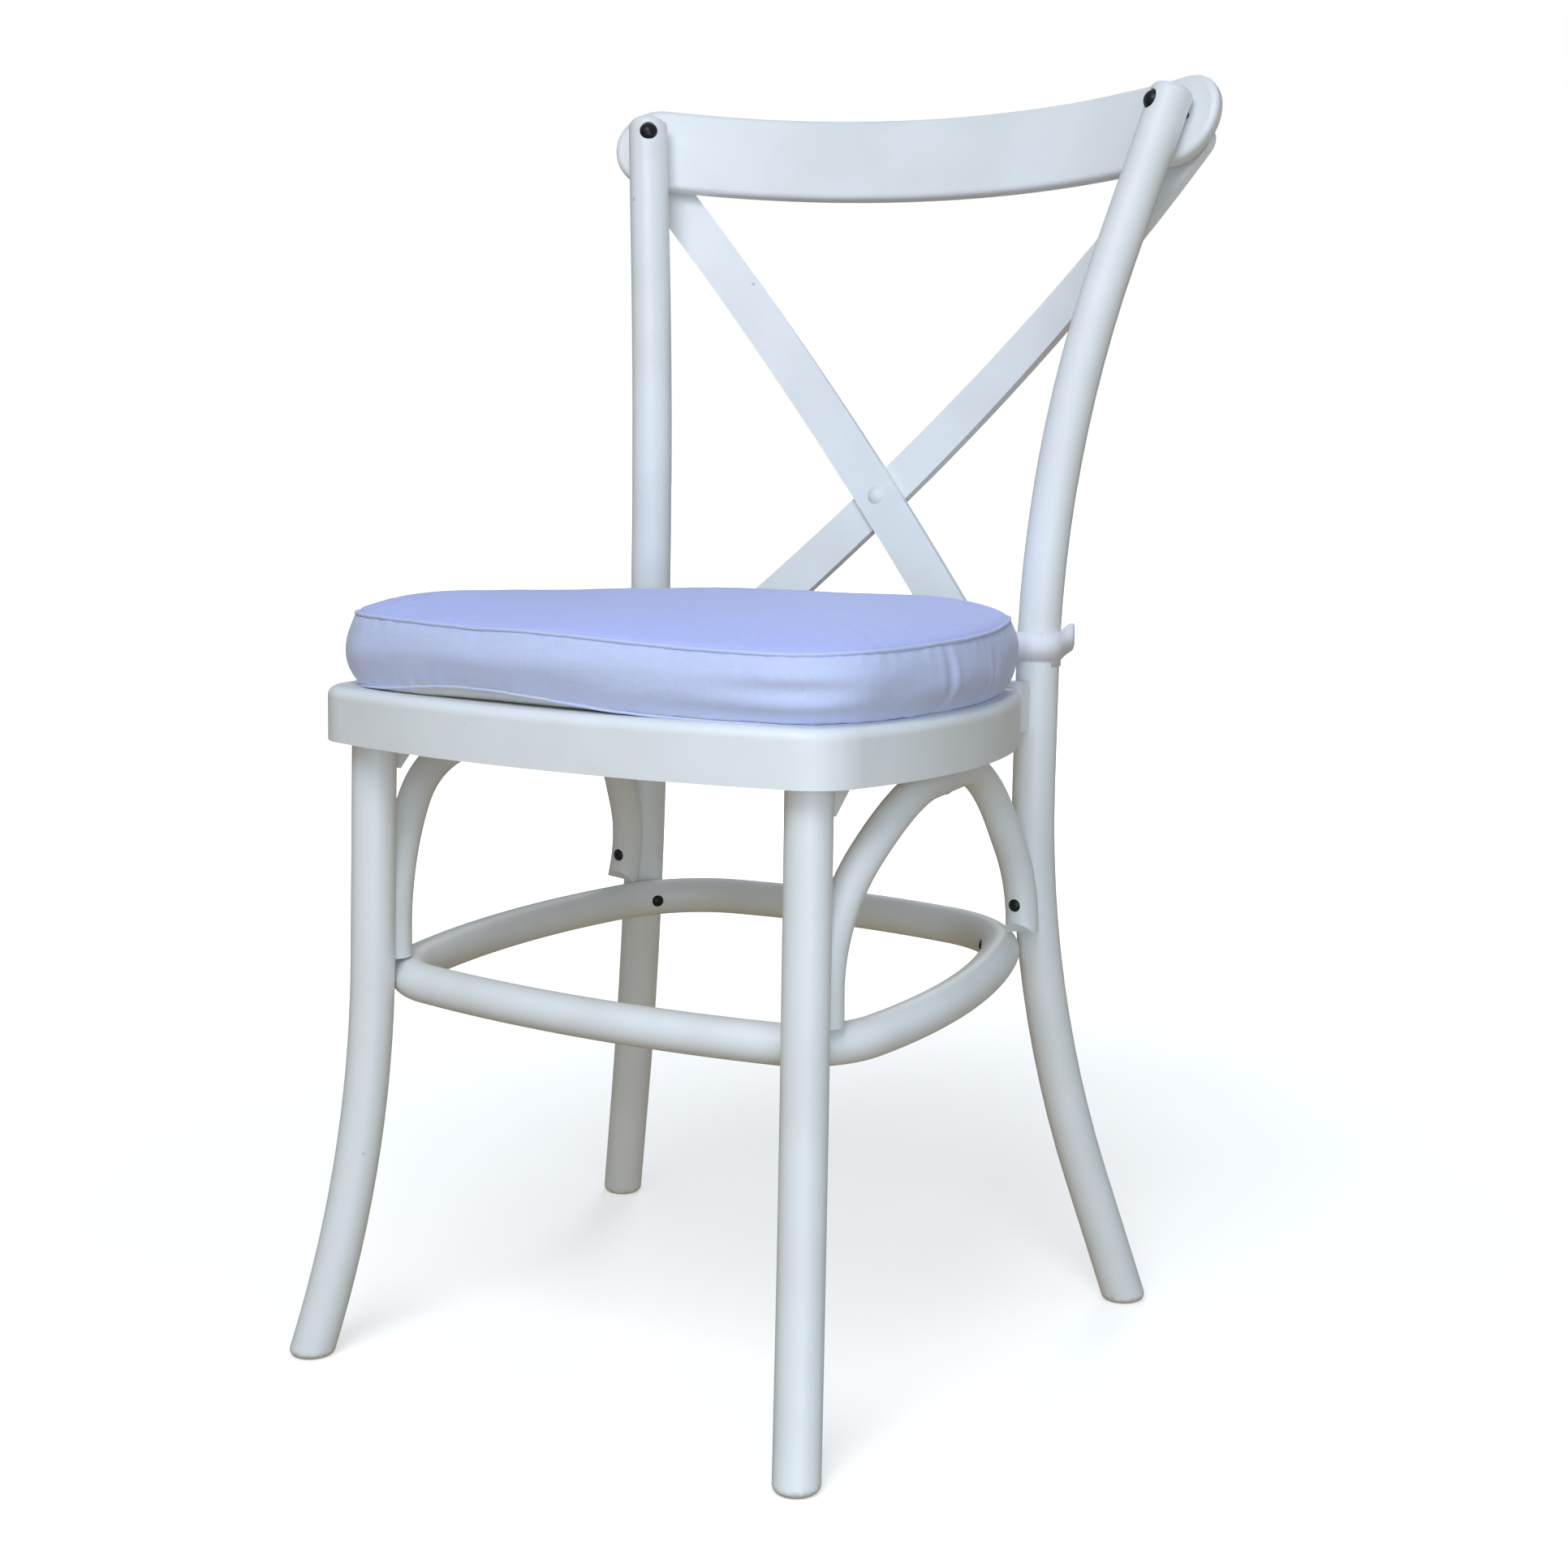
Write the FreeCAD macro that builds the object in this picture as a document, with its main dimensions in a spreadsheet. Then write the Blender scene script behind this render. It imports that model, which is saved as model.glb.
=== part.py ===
import FreeCAD, Part
import math
import os

# Cross back chair of bent round rods and bent boards, with a strapped-on box cushion.
# The frame stands on z = 0, faces -Y and is symmetric about x = 0.

Vector = FreeCAD.Vector
Rotation = FreeCAD.Rotation
Placement = FreeCAD.Placement

UP = Vector(0, 0, 1)
REAR = Vector(0, 1, 0)

# Driving dimensions in millimetres and degrees.
# A spread is half a distance across the chair, a reach is a distance along it,
# and a bend is the length of rod beside a corner that the bend takes up.
SIZES = {
    "fit_clearance": 0.3,
    "leg_diameter": 30.6,
    "foot_round": 4.5,
    "front_foot_spread": 201.2,
    "front_foot_reach": 254.5,
    "front_knee_spread": 178.3,
    "front_knee_reach": 212.2,
    "front_knee_height": 134.7,
    "front_top_spread": 175.7,
    "front_top_reach": 200.5,
    "front_leg_bend": 137.8,
    "tenon_diameter": 20.0,
    "tenon_length": 22.0,
    "post_foot_spread": 230.7,
    "post_foot_reach": 151.0,
    "post_low_spread": 171.1,
    "post_low_reach": 102.2,
    "post_low_height": 237.5,
    "post_high_spread": 169.0,
    "post_high_reach": 119.4,
    "post_high_height": 617.3,
    "post_top_spread": 226.9,
    "post_top_reach": 195.4,
    "post_top_height": 874.0,
    "post_bend": 147.7,
    "post_top_round": 6.0,
    "seat_underside": 423.2,
    "seat_slope": 1.72,
    "ring_thickness": 37.0,
    "ring_width": 60.0,
    "ring_front_reach": 256.0,
    "ring_front_radius": 707.0,
    "ring_side_spread": 221.0,
    "ring_side_reach": 110.0,
    "ring_side_radius": 404.0,
    "ring_corner_radius": 45.0,
    "ring_edge_round": 7.0,
    "opening_corner_radius": 40.0,
    "ring_back_width": 48.0,
    "ledge_width": 10.0,
    "panel_thickness": 6.0,
    "rail_thickness": 13.0,
    "rail_height": 35.0,
    "rail_lift": 6.0,
    "crest_mount_drop": 14.0,
    "crest_radius": 650.0,
    "crest_width": 65.5,
    "crest_thickness": 12.0,
    "crest_half_length": 267.0,
    "crest_round": 4.0,
    "slat_width": 32.5,
    "slat_thickness": 6.0,
    "slat_gap": 0.8,
    "slat_end_inset": 21.0,
    "slat_end_drop": 4.0,
    "slat_end_round": 10.0,
    "slat_screw_inset": 13.0,
    "cross_height": 582.5,
    "cross_reach": 178.5,
    "slat_low_spread": 105.4,
    "slat_low_reach": 132.4,
    "slat_low_height": 477.0,
    "slat_foot_inset": 15.6,
    "slat_foot_lift": 9.0,
    "hoop_diameter": 27.0,
    "hoop_height": 266.0,
    "hoop_slope": 2.12,
    "hoop_front_reach": 200.9,
    "hoop_front_radius": 872.0,
    "hoop_side_spread": 193.4,
    "hoop_side_reach": 81.6,
    "hoop_side_radius": 425.0,
    "hoop_back_reach": 133.1,
    "hoop_back_radius": 616.0,
    "arch_diameter": 23.2,
    "arch_front_end_set": 24.9,
    "arch_front_knee_set": 22.0,
    "arch_front_height": 342.0,
    "arch_front_spread": 196.1,
    "arch_front_reach": 117.9,
    "arch_back_spread": 160.7,
    "arch_back_reach": 47.0,
    "arch_back_height": 319.3,
    "arch_back_knee_set": 18.9,
    "arch_back_end_set": 26.4,
    "arch_bevel": 9.0,
    "block_length": 22.0,
    "block_height": 21.0,
    "block_width": 20.0,
    "head_diameter": 9.0,
    "head_height": 2.2,
    "head_recess": 1.0,
    "shank_diameter": 4.0,
    "big_head_diameter": 14.0,
    "big_head_height": 4.2,
    "big_shank_diameter": 5.0,
    "grip_length": 12.0,
    "crest_screw_turn": 37.0,
    "arch_screw_height": 304.0,
    "rail_bolt_inset": 5.0,
    "nut_diameter": 12.0,
    "nut_height": 4.0,
    "cushion_inset": 4.0,
    "cushion_corner_radius": 68.0,
    "cushion_height": 52.0,
    "cushion_round": 7.0,
    "strap_width": 21.0,
    "strap_thickness": 2.0,
    "strap_height": 485.0,
}

doc = FreeCAD.newDocument("cross_back_chair")
sheet = doc.addObject("Spreadsheet::Sheet", "Dims")
for row, (alias, number) in enumerate(SIZES.items(), start=1):
    sheet.set(f"A{row}", alias)
    sheet.set(f"B{row}", str(number))
    sheet.setAlias(f"B{row}", alias)
doc.recompute()


def size(alias):
    return float(sheet.get(alias))


def bind(item, **expressions):
    """Tie properties of a document object to expressions on the sheet."""
    for name, expression in expressions.items():
        item.setExpression(name, expression)


gap = size("fit_clearance")
leg_radius = size("leg_diameter") / 2
hoop_radius = size("hoop_diameter") / 2
arch_radius = size("arch_diameter") / 2
ring_thickness = size("ring_thickness")

seat_place = Placement(Vector(0, 0, size("seat_underside")), Rotation(Vector(1, 0, 0), -size("seat_slope")))
hoop_place = Placement(Vector(0, 0, size("hoop_height")), Rotation(Vector(1, 0, 0), size("hoop_slope")))
seat_normal = seat_place.Rotation.multVec(UP)

# Room for tools that cut past a piece, and the size of planes that cross the whole chair.
SPARE = 40.0
WIDE = 1200.0

nodes = {}


def keep(label, item):
    """Name a finished sub-part; its label is also its file name."""
    item.Label = label
    nodes[label] = item
    return item


# Geometry helpers


def level(height):
    """Horizontal plane at a height."""
    return Placement(Vector(0, 0, height), Rotation())


def axis_at(wire, place, rear_half=None):
    """Point where a path crosses the XY plane of a placement."""
    plane = Part.makePlane(2 * WIDE, 2 * WIDE, Vector(-WIDE, -WIDE, 0))
    plane.Placement = place
    points = [vertex.Point for vertex in wire.section(plane).Vertexes]
    if rear_half is not None:
        points = [point for point in points if (point.y > 0) == rear_half]
    return points[0]


def bend_room(points, index):
    """Length beside a corner that its bend may use: half of a shared run, most of an end run."""
    before = (points[index] - points[index - 1]).Length
    after = (points[index + 1] - points[index]).Length
    before *= 0.8 if index == 1 else 0.49
    after *= 0.8 if index == len(points) - 2 else 0.49
    return min(before, after)


def bent_wire(points, bend=None):
    """Straight runs joined by tangent arcs that take up one length of rod, or as much as the runs allow."""
    edges = []
    start = points[0]
    for index in range(1, len(points) - 1):
        corner = points[index]
        back = (points[index - 1] - corner).normalize()
        ahead = (points[index + 1] - corner).normalize()
        half_turn = (math.pi - back.getAngle(ahead)) / 2
        reach = bend or bend_room(points, index)
        radius = reach / math.tan(half_turn)
        middle = corner + (back + ahead).normalize() * (radius / math.cos(half_turn) - radius)
        first = corner + back * reach
        last = corner + ahead * reach
        edges.append(Part.LineSegment(start, first).toShape())
        edges.append(Part.Arc(first, middle, last).toShape())
        start = last
    edges.append(Part.LineSegment(start, points[-1]).toShape())
    return Part.Wire(edges)


def short_arc(centre, first, last):
    """Arc of less than half a turn about a centre."""
    radius = (first - centre).Length
    middle = centre + ((first - centre) + (last - centre)).normalize() * radius
    return Part.Arc(first, middle, last)


def tangent_circle(centre_a, radius_a, centre_b, radius_b, radius, front):
    """Centre of a circle inside two others and tangent to both, on the +X side."""
    to_a = radius_a - radius
    to_b = radius_b - radius
    line = centre_b - centre_a
    apart = line.Length
    along = (to_a ** 2 - to_b ** 2 + apart ** 2) / (2 * apart)
    aside = math.sqrt(to_a ** 2 - along ** 2)
    line.normalize()
    foot = centre_a + line * along
    normal = Vector(-line.y, line.x, 0)
    found = [foot + normal * aside, foot - normal * aside]
    found.sort(key=lambda point: point.y)
    return found[0] if front else found[1]


def on_circle(centre, radius, toward):
    return centre + (toward - centre).normalize() * radius


def mirrored(point):
    return Vector(-point.x, point.y, point.z)


# Document object helpers


def path_object(name, wire):
    path = doc.addObject("Part::Feature", name + "_path")
    path.Shape = wire
    return path


def swept_rod(name, wire, diameter):
    """Round rod along a path, its diameter bound to the sheet."""
    path = path_object(name, wire)
    first = wire.OrderedEdges[0]
    circle = doc.addObject("Part::Circle", name + "_section")
    bind(circle, Radius=f"({diameter}) / 2")
    start = first.valueAt(first.FirstParameter)
    circle.Placement = Placement(start, Rotation(UP, first.tangentAt(first.FirstParameter)))
    rod = doc.addObject("Part::Sweep", name + "_rod")
    rod.Sections = [circle]
    rod.Spine = (path, [f"Edge{number}" for number in range(1, len(wire.Edges) + 1)])
    rod.Solid = True
    rod.Frenet = False
    return rod


def cylinder(name, place, radius, height):
    item = doc.addObject("Part::Cylinder", name)
    bind(item, Radius=radius, Height=height)
    item.Placement = place
    return item


def box(name, place, length, width, height):
    item = doc.addObject("Part::Box", name)
    item.Length = length
    item.Width = width
    item.Height = height
    item.Placement = place
    return item


def united(name, items):
    if len(items) == 1:
        return items[0]
    item = doc.addObject("Part::MultiFuse", name)
    item.Shapes = items
    return item


def cut(name, base, tools):
    item = doc.addObject("Part::Cut", name)
    item.Base = base
    item.Tool = united(name + "_tools", tools)
    return item


def mirror(name, source):
    item = doc.addObject("Part::Mirroring", name)
    item.Source = source
    item.Normal = Vector(1, 0, 0)
    return item


def pair(label, source):
    """A right piece and its left mirror image as two nodes."""
    keep(label + "_right", source)
    keep(label + "_left", mirror(label + "_mirror", source))


def group(label, items):
    """Identical fasteners as one node of separate solids."""
    copies = [mirror(f"{item.Name}_mirror", item) for item in items]
    item = doc.addObject("Part::Compound", label + "_group")
    item.Links = items + copies
    keep(label, item)


def rounded(name, base, edge_filter, radius):
    """Fillet on the edges of a shape that a filter picks."""
    doc.recompute()
    item = doc.addObject("Part::Fillet", name)
    item.Base = base
    edges = enumerate(base.Shape.Edges, start=1)
    item.Edges = [(number, radius, radius) for number, edge in edges if edge_filter(edge)]
    return item


def body_at(name, place):
    body = doc.addObject("PartDesign::Body", name)
    body.Placement = place
    return body


def sketch_on(body, name, role, geometry, lift=0.0):
    plane = next(item for item in body.Origin.OriginFeatures if item.Role == role)
    sketch = body.newObject("Sketcher::SketchObject", name)
    sketch.AttachmentSupport = [(plane, "")]
    sketch.MapMode = "FlatFace"
    sketch.AttachmentOffset = Placement(Vector(0, 0, lift), Rotation())
    sketch.addGeometry(geometry, False)
    return sketch


def pad(body, name, sketch, length):
    item = body.newObject("PartDesign::Pad", name)
    item.Profile = sketch
    bind(item, Length=length)
    return item


def pocket_upward(body, name, sketch, length):
    """Pocket that cuts from its sketch in the sketch's own +Z direction."""
    item = body.newObject("PartDesign::Pocket", name)
    item.Profile = sketch
    item.Reversed = True
    bind(item, Length=length)
    return item


# Fasteners: a domed head and a round shank, and the room that the wood leaves for them


class Fastener:
    def __init__(self, name, surface, outward, length, big=False, flat=False):
        self.name = name
        self.outward = Vector(outward).normalize()
        self.length = length
        self.kind = "big_" if big else ""
        recess = 0.0 if flat else size("head_recess")
        self.seat = surface - self.outward * recess
        self.turn = Rotation(UP, self.outward)
        self.reach = size(self.kind + "head_diameter")

    def solid(self):
        head = f"Dims.{self.kind}head_diameter"
        rise = f"Dims.{self.kind}head_height"
        dome = size(self.kind + "head_height")
        half = size(self.kind + "head_diameter") / 2
        ball = (half ** 2 + dome ** 2) / (2 * dome)
        cap = doc.addObject("Part::Sphere", self.name + "_head")
        bind(cap, Radius=f"(({head} / 2) ^ 2 + {rise} ^ 2) / (2 * {rise})")
        cap.Angle1 = math.degrees(math.asin((ball - dome) / ball))
        cap.Placement = Placement(self.seat - self.outward * (ball - dome), self.turn)
        shank = doc.addObject("Part::Cylinder", self.name + "_shank")
        bind(shank, Radius=f"Dims.{self.kind}shank_diameter / 2")
        shank.Height = self.length + dome / 2
        shank.Placement = Placement(self.seat - self.outward * self.length, self.turn)
        return united(self.name, [cap, shank])

    def room(self, owner):
        """Hole with clearance for the shank, and a recess for the head."""
        hole = doc.addObject("Part::Cylinder", f"{self.name}_{owner}_hole")
        bind(hole, Radius=f"Dims.{self.kind}shank_diameter / 2 + Dims.fit_clearance")
        hole.Height = self.length + gap + SPARE
        hole.Placement = Placement(self.seat - self.outward * (self.length + gap), self.turn)
        radius = f"Dims.{self.kind}head_diameter / 2 + Dims.fit_clearance"
        place = Placement(self.seat, self.turn)
        recess = cylinder(f"{self.name}_{owner}_recess", place, radius, f"{self.reach}")
        return united(f"{self.name}_{owner}_room", [hole, recess])


# Paths of the four legs, on the +X side


def run_on(start, end, extra):
    """Point past the end of a run, in its direction."""
    return end + (end - start).normalize() * extra


def front_leg_points():
    foot = Vector(size("front_foot_spread"), -size("front_foot_reach"), 0)
    knee = Vector(size("front_knee_spread"), -size("front_knee_reach"), size("front_knee_height"))
    top = seat_place.multVec(Vector(size("front_top_spread"), -size("front_top_reach"), 0))
    return [run_on(knee, foot, SPARE), knee, run_on(knee, top, SPARE)]


def post_points():
    foot = Vector(size("post_foot_spread"), size("post_foot_reach"), 0)
    low = Vector(size("post_low_spread"), size("post_low_reach"), size("post_low_height"))
    high = Vector(size("post_high_spread"), size("post_high_reach"), size("post_high_height"))
    top = Vector(size("post_top_spread"), size("post_top_reach"), size("post_top_height"))
    return [run_on(low, foot, SPARE), low, high, top]


front_wire = bent_wire(front_leg_points(), size("front_leg_bend"))
post_wire = bent_wire(post_points(), size("post_bend"))
post_lean = (post_points()[3] - post_points()[2]).normalize()


# Seat outline in the seat's own plane


post_at_seat = seat_place.inverse().multVec(axis_at(post_wire, seat_place))
rail_back = post_at_seat.y - leg_radius - 2 * gap
ring_back = rail_back - size("rail_thickness")


def seat_outline(inset, corner, back):
    """Closed seat outline, set in from the ring's outer edge: front, corner and side arcs, straight back."""
    front_radius = size("ring_front_radius")
    side_radius = size("ring_side_radius")
    front_centre = Vector(0, front_radius - size("ring_front_reach"), 0)
    side_centre = Vector(size("ring_side_spread") - side_radius, -size("ring_side_reach"), 0)
    front_radius -= inset
    side_radius -= inset
    centre = tangent_circle(front_centre, front_radius, side_centre, side_radius, corner, True)
    front_end = on_circle(front_centre, front_radius, centre)
    side_start = on_circle(side_centre, side_radius, centre)
    drop = back - side_centre.y
    side_end = Vector(side_centre.x + math.sqrt(side_radius ** 2 - drop ** 2), back, 0)
    right = [short_arc(centre, front_end, side_start), short_arc(side_centre, side_start, side_end)]
    left = [
        short_arc(mirrored(side_centre), mirrored(side_end), mirrored(side_start)),
        short_arc(mirrored(centre), mirrored(side_start), mirrored(front_end)),
    ]
    front = short_arc(front_centre, mirrored(front_end), front_end)
    return [front] + right + [Part.LineSegment(side_end, mirrored(side_end))] + left


# Stretcher hoop: its corners take the radius that brings the rod against the legs


def hoop_circles(back):
    if back:
        radius = size("hoop_back_radius")
        end_centre = Vector(0, size("hoop_back_reach") - radius, 0)
    else:
        radius = size("hoop_front_radius")
        end_centre = Vector(0, radius - size("hoop_front_reach"), 0)
    side_radius = size("hoop_side_radius")
    side_centre = Vector(size("hoop_side_spread") - side_radius, -size("hoop_side_reach"), 0)
    return end_centre, radius, side_centre, side_radius


def hoop_corner(leg, back):
    """Centre and radius of a corner arc whose rod lies one clearance from the leg."""
    end_centre, end_radius, side_centre, side_radius = hoop_circles(back)
    reach = leg_radius + hoop_radius + gap
    tight = size("hoop_diameter")
    wide = 0.9 * size("hoop_side_spread")
    for _ in range(60):
        radius = (tight + wide) / 2
        centre = tangent_circle(end_centre, end_radius, side_centre, side_radius, radius, not back)
        if (leg - centre).Length - radius < reach:
            tight = radius
        else:
            wide = radius
    return centre, radius


leg_at_hoop = hoop_place.inverse().multVec(axis_at(front_wire, hoop_place))
post_at_hoop = hoop_place.inverse().multVec(axis_at(post_wire, hoop_place))
front_corner = hoop_corner(leg_at_hoop, False)
back_corner = hoop_corner(post_at_hoop, True)


def hoop_wire():
    end_centre, end_radius, side_centre, side_radius = hoop_circles(False)
    back_centre, back_radius, _, _ = hoop_circles(True)
    front_end = on_circle(end_centre, end_radius, front_corner[0])
    side_start = on_circle(side_centre, side_radius, front_corner[0])
    side_end = on_circle(side_centre, side_radius, back_corner[0])
    back_end = on_circle(back_centre, back_radius, back_corner[0])
    right = [
        (front_corner[0], front_end, side_start),
        (side_centre, side_start, side_end),
        (back_corner[0], side_end, back_end),
    ]
    arcs = [short_arc(*arc) for arc in right]
    arcs.append(short_arc(back_centre, back_end, mirrored(back_end)))
    for centre, first, last in reversed(right):
        arcs.append(short_arc(mirrored(centre), mirrored(last), mirrored(first)))
    arcs.append(short_arc(end_centre, mirrored(front_end), front_end))
    wire = Part.Wire([arc.toShape() for arc in arcs])
    wire.Placement = hoop_place
    return wire


def hoop_screw(name, leg, corner):
    """Screw from the inside of the hoop, through it and into a leg."""
    centre, radius = corner
    inward = (centre - leg).normalize()
    middle = centre - inward * radius
    surface = hoop_place.multVec(middle + inward * hoop_radius)
    length = 2 * hoop_radius + gap + size("grip_length")
    return Fastener(name, surface, hoop_place.Rotation.multVec(inward), length)


hoop_screw_front = hoop_screw("hoop_screw_front", leg_at_hoop, front_corner)
hoop_screw_back = hoop_screw("hoop_screw_back", post_at_hoop, back_corner)


# Side arch: up the back of the front leg, along the underside of the ring, down the front of the post


def under_seat(x, y, depth):
    """Point a distance below the underside of the seat ring."""
    return seat_place.multVec(Vector(x, y, -depth))


def on_hoop(wire, offset):
    """Point beside a leg where the end of an arch stands just above the hoop."""
    beside = hoop_place.inverse().multVec(axis_at(wire, hoop_place) + offset)
    lift = hoop_radius + 3 * gap + arch_radius * math.sin(math.radians(size("hoop_slope")))
    return hoop_place.multVec(Vector(beside.x, beside.y, lift))


def arch_points():
    """Corners of the arch; its ends stand behind the front leg and before the post."""
    depth = arch_radius + gap
    front_knee = axis_at(front_wire, level(size("arch_front_height")))
    back_knee = axis_at(post_wire, level(size("arch_back_height")))
    return [
        on_hoop(front_wire, REAR * size("arch_front_end_set")),
        front_knee + REAR * size("arch_front_knee_set"),
        under_seat(size("arch_front_spread"), -size("arch_front_reach"), depth),
        under_seat(size("arch_back_spread"), size("arch_back_reach"), depth),
        back_knee - REAR * size("arch_back_knee_set"),
        on_hoop(post_wire, -REAR * size("arch_back_end_set")),
    ]


arch_corners = arch_points()
arch_wire = bent_wire(arch_corners)
arch_grip = 2 * arch_radius + gap + size("grip_length")


def arch_screw(name, rear_half):
    middle = axis_at(arch_wire, level(size("arch_screw_height")), rear_half)
    outward = -REAR if rear_half else REAR
    return Fastener(name, middle + outward * arch_radius, outward, arch_grip)


def arch_top_screw():
    middle = (arch_corners[2] + arch_corners[3]) / 2
    return Fastener("arch_top_screw", middle - seat_normal * arch_radius, -seat_normal, arch_grip)


arch_screw_front = arch_screw("arch_screw_front", False)
arch_screw_back = arch_screw("arch_screw_back", True)
arch_screw_top = arch_top_screw()


# Crest rail: a bent board that leans with the posts and lies on their back


post_at_crest = axis_at(post_wire, level(size("post_top_height") - size("crest_mount_drop")))
crest_radius = size("crest_radius")
crest_to_post = crest_radius - leg_radius - 2 * gap
crest_centre = Vector(0, -math.sqrt(crest_to_post ** 2 - post_at_crest.x ** 2), 0)
slat_end_spread = size("crest_half_length") - size("slat_end_inset")


def crest_rake():
    """Lean at which the bent board touches the leaning, spreading posts along their length."""
    turn = post_at_crest.x / -crest_centre.y
    back_lean = math.atan2(post_lean.y, post_lean.z)
    side_lean = math.asin(post_lean.x * turn / math.hypot(post_lean.y, post_lean.z))
    return math.degrees(back_lean + side_lean)


crest_place = Placement(Vector(0, post_at_crest.y, post_at_crest.z), Rotation(Vector(1, 0, 0), -crest_rake()))


def on_crest(arc_length, depth, height):
    """Point on the bent board: along its front face, behind that face and above its middle line."""
    angle = arc_length / crest_radius
    radius = crest_radius + depth
    flat = crest_centre + Vector(radius * math.sin(angle), radius * math.cos(angle), height)
    return crest_place.multVec(flat)


def crest_normal(arc_length):
    """Direction that the back of the board faces."""
    angle = arc_length / crest_radius
    return crest_place.Rotation.multVec(Vector(math.sin(angle), math.cos(angle), 0))


def crest_screw():
    turn = math.radians(size("crest_screw_turn"))
    plan = Vector(-math.sin(turn), -math.cos(turn), 0)
    outward = plan - post_lean * plan.dot(post_lean)
    outward.normalize()
    length = 2 * leg_radius + gap + 0.75 * size("crest_thickness")
    return Fastener("crest_screw", post_at_crest + outward * leg_radius, outward, length, True)


crest_screw_right = crest_screw()


# Bolt from the back of a post through the rear seat rail into the ring


def rail_bolt():
    rail_middle = size("rail_lift") + size("rail_height") / 2
    middle = axis_at(post_wire, Placement(seat_place.multVec(Vector(0, 0, rail_middle)), seat_place.Rotation))
    outward = seat_place.Rotation.multVec(REAR)
    inset = size("rail_bolt_inset")
    depth = math.sqrt(leg_radius ** 2 - inset ** 2)
    surface = middle - Vector(inset, 0, 0) + outward * depth
    length = leg_radius + depth + size("rail_thickness") + 2 * size("grip_length")
    return Fastener("rail_bolt", surface, outward, length, True)


rail_bolt_right = rail_bolt()


# Legs and posts


floor_tool = box("floor_tool", Placement(Vector(-WIDE / 2, -WIDE / 2, -WIDE), Rotation()), WIDE, WIDE, WIDE)
seat_corner = Placement(Vector(-WIDE / 2, -WIDE / 2, 0), Rotation())
seat_tool = box("seat_tool", seat_place.multiply(seat_corner), WIDE, WIDE, WIDE)


def at_floor(edge):
    return edge.BoundBox.ZMax < gap


def at_post_top(edge):
    """The end circle of a post, and not the seam along it."""
    return edge.BoundBox.ZMin > size("post_top_height") - leg_radius


def front_leg():
    rod = swept_rod("front_leg", front_wire, "Dims.leg_diameter")
    blank = cut("front_leg_blank", rod, [floor_tool, seat_tool])
    shaped = rounded("front_leg_shaped", blank, at_floor, size("foot_round"))
    root = size("tenon_length") / 4
    top = Vector(size("front_top_spread"), -size("front_top_reach"), -root)
    place = Placement(seat_place.multVec(top), seat_place.Rotation)
    tenon = cylinder("front_tenon", place, "Dims.tenon_diameter / 2", "Dims.tenon_length * 5 / 4")
    joined = united("front_leg_joined", [shaped, tenon])
    tools = [hoop_screw_front.room("leg"), arch_screw_front.room("leg")]
    return cut("front_leg_right_part", joined, tools)


def back_post():
    rod = swept_rod("back_post", post_wire, "Dims.leg_diameter")
    blank = cut("back_post_blank", rod, [floor_tool])
    footed = rounded("back_post_footed", blank, at_floor, size("foot_round"))
    shaped = rounded("back_post_shaped", footed, at_post_top, size("post_top_round"))
    screws = [hoop_screw_back, arch_screw_back, crest_screw_right, rail_bolt_right]
    return cut("back_post_right_part", shaped, [screw.room("post") for screw in screws])


pair("front_leg", front_leg())
pair("back_post", back_post())


# Seat ring, panel and rear rail


def on_ring_top(edge):
    """Upper outer edge of the seat ring, without its straight back."""
    centre = edge.CenterOfMass
    outer = max(abs(centre.x) / size("ring_side_spread"), -centre.y / size("ring_front_reach"))
    return abs(centre.z - ring_thickness) < gap and outer > 0.85 and edge.BoundBox.YLength > gap


def plain_ring():
    body = body_at("ring_body", Placement())
    outline = seat_outline(0, size("ring_corner_radius"), ring_back)
    pad(body, "ring_pad", sketch_on(body, "ring_outline", "XY_Plane", outline), "Dims.ring_thickness")
    opening_back = ring_back - size("ring_back_width")
    opening = seat_outline(size("ring_width"), size("opening_corner_radius"), opening_back)
    sketch = sketch_on(body, "ring_opening", "XY_Plane", opening)
    pocket_upward(body, "ring_hole", sketch, "Dims.ring_thickness")
    ledge = size("ledge_width")
    wider_corner = size("opening_corner_radius") + ledge
    wider = seat_outline(size("ring_width") - ledge, wider_corner, opening_back + ledge)
    lift = ring_thickness - size("panel_thickness")
    sketch = sketch_on(body, "ring_ledge", "XY_Plane", wider, lift)
    pocket_upward(body, "ring_ledge_cut", sketch, "Dims.panel_thickness")
    return body


def mirrored_tools(name, tools):
    return tools + [mirror(f"{name}_{number}_mirror", tool) for number, tool in enumerate(tools)]


def seat_frame():
    ring = rounded("ring_rounded", plain_ring(), on_ring_top, size("ring_edge_round"))
    ring.Placement = seat_place
    top = Vector(size("front_top_spread"), -size("front_top_reach"), -SPARE)
    place = Placement(seat_place.multVec(top), seat_place.Rotation)
    radius = "Dims.tenon_diameter / 2 + Dims.fit_clearance"
    mortise = cylinder("front_mortise", place, radius, f"Dims.tenon_length + Dims.fit_clearance + {SPARE}")
    tools = [mortise, arch_screw_top.room("ring"), rail_bolt_right.room("ring")]
    return cut("seat_frame_part", ring, mirrored_tools("ring_tool", tools))


def seat_panel():
    body = body_at("panel_body", seat_place)
    inset = size("ring_width") - size("ledge_width") + gap
    corner = size("opening_corner_radius") + size("ledge_width") - gap
    back = ring_back - size("ring_back_width") + size("ledge_width") - gap
    lift = ring_thickness - size("panel_thickness")
    sketch = sketch_on(body, "panel_outline", "XY_Plane", seat_outline(inset, corner, back), lift)
    pad(body, "panel_pad", sketch, "Dims.panel_thickness")
    return body


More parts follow.
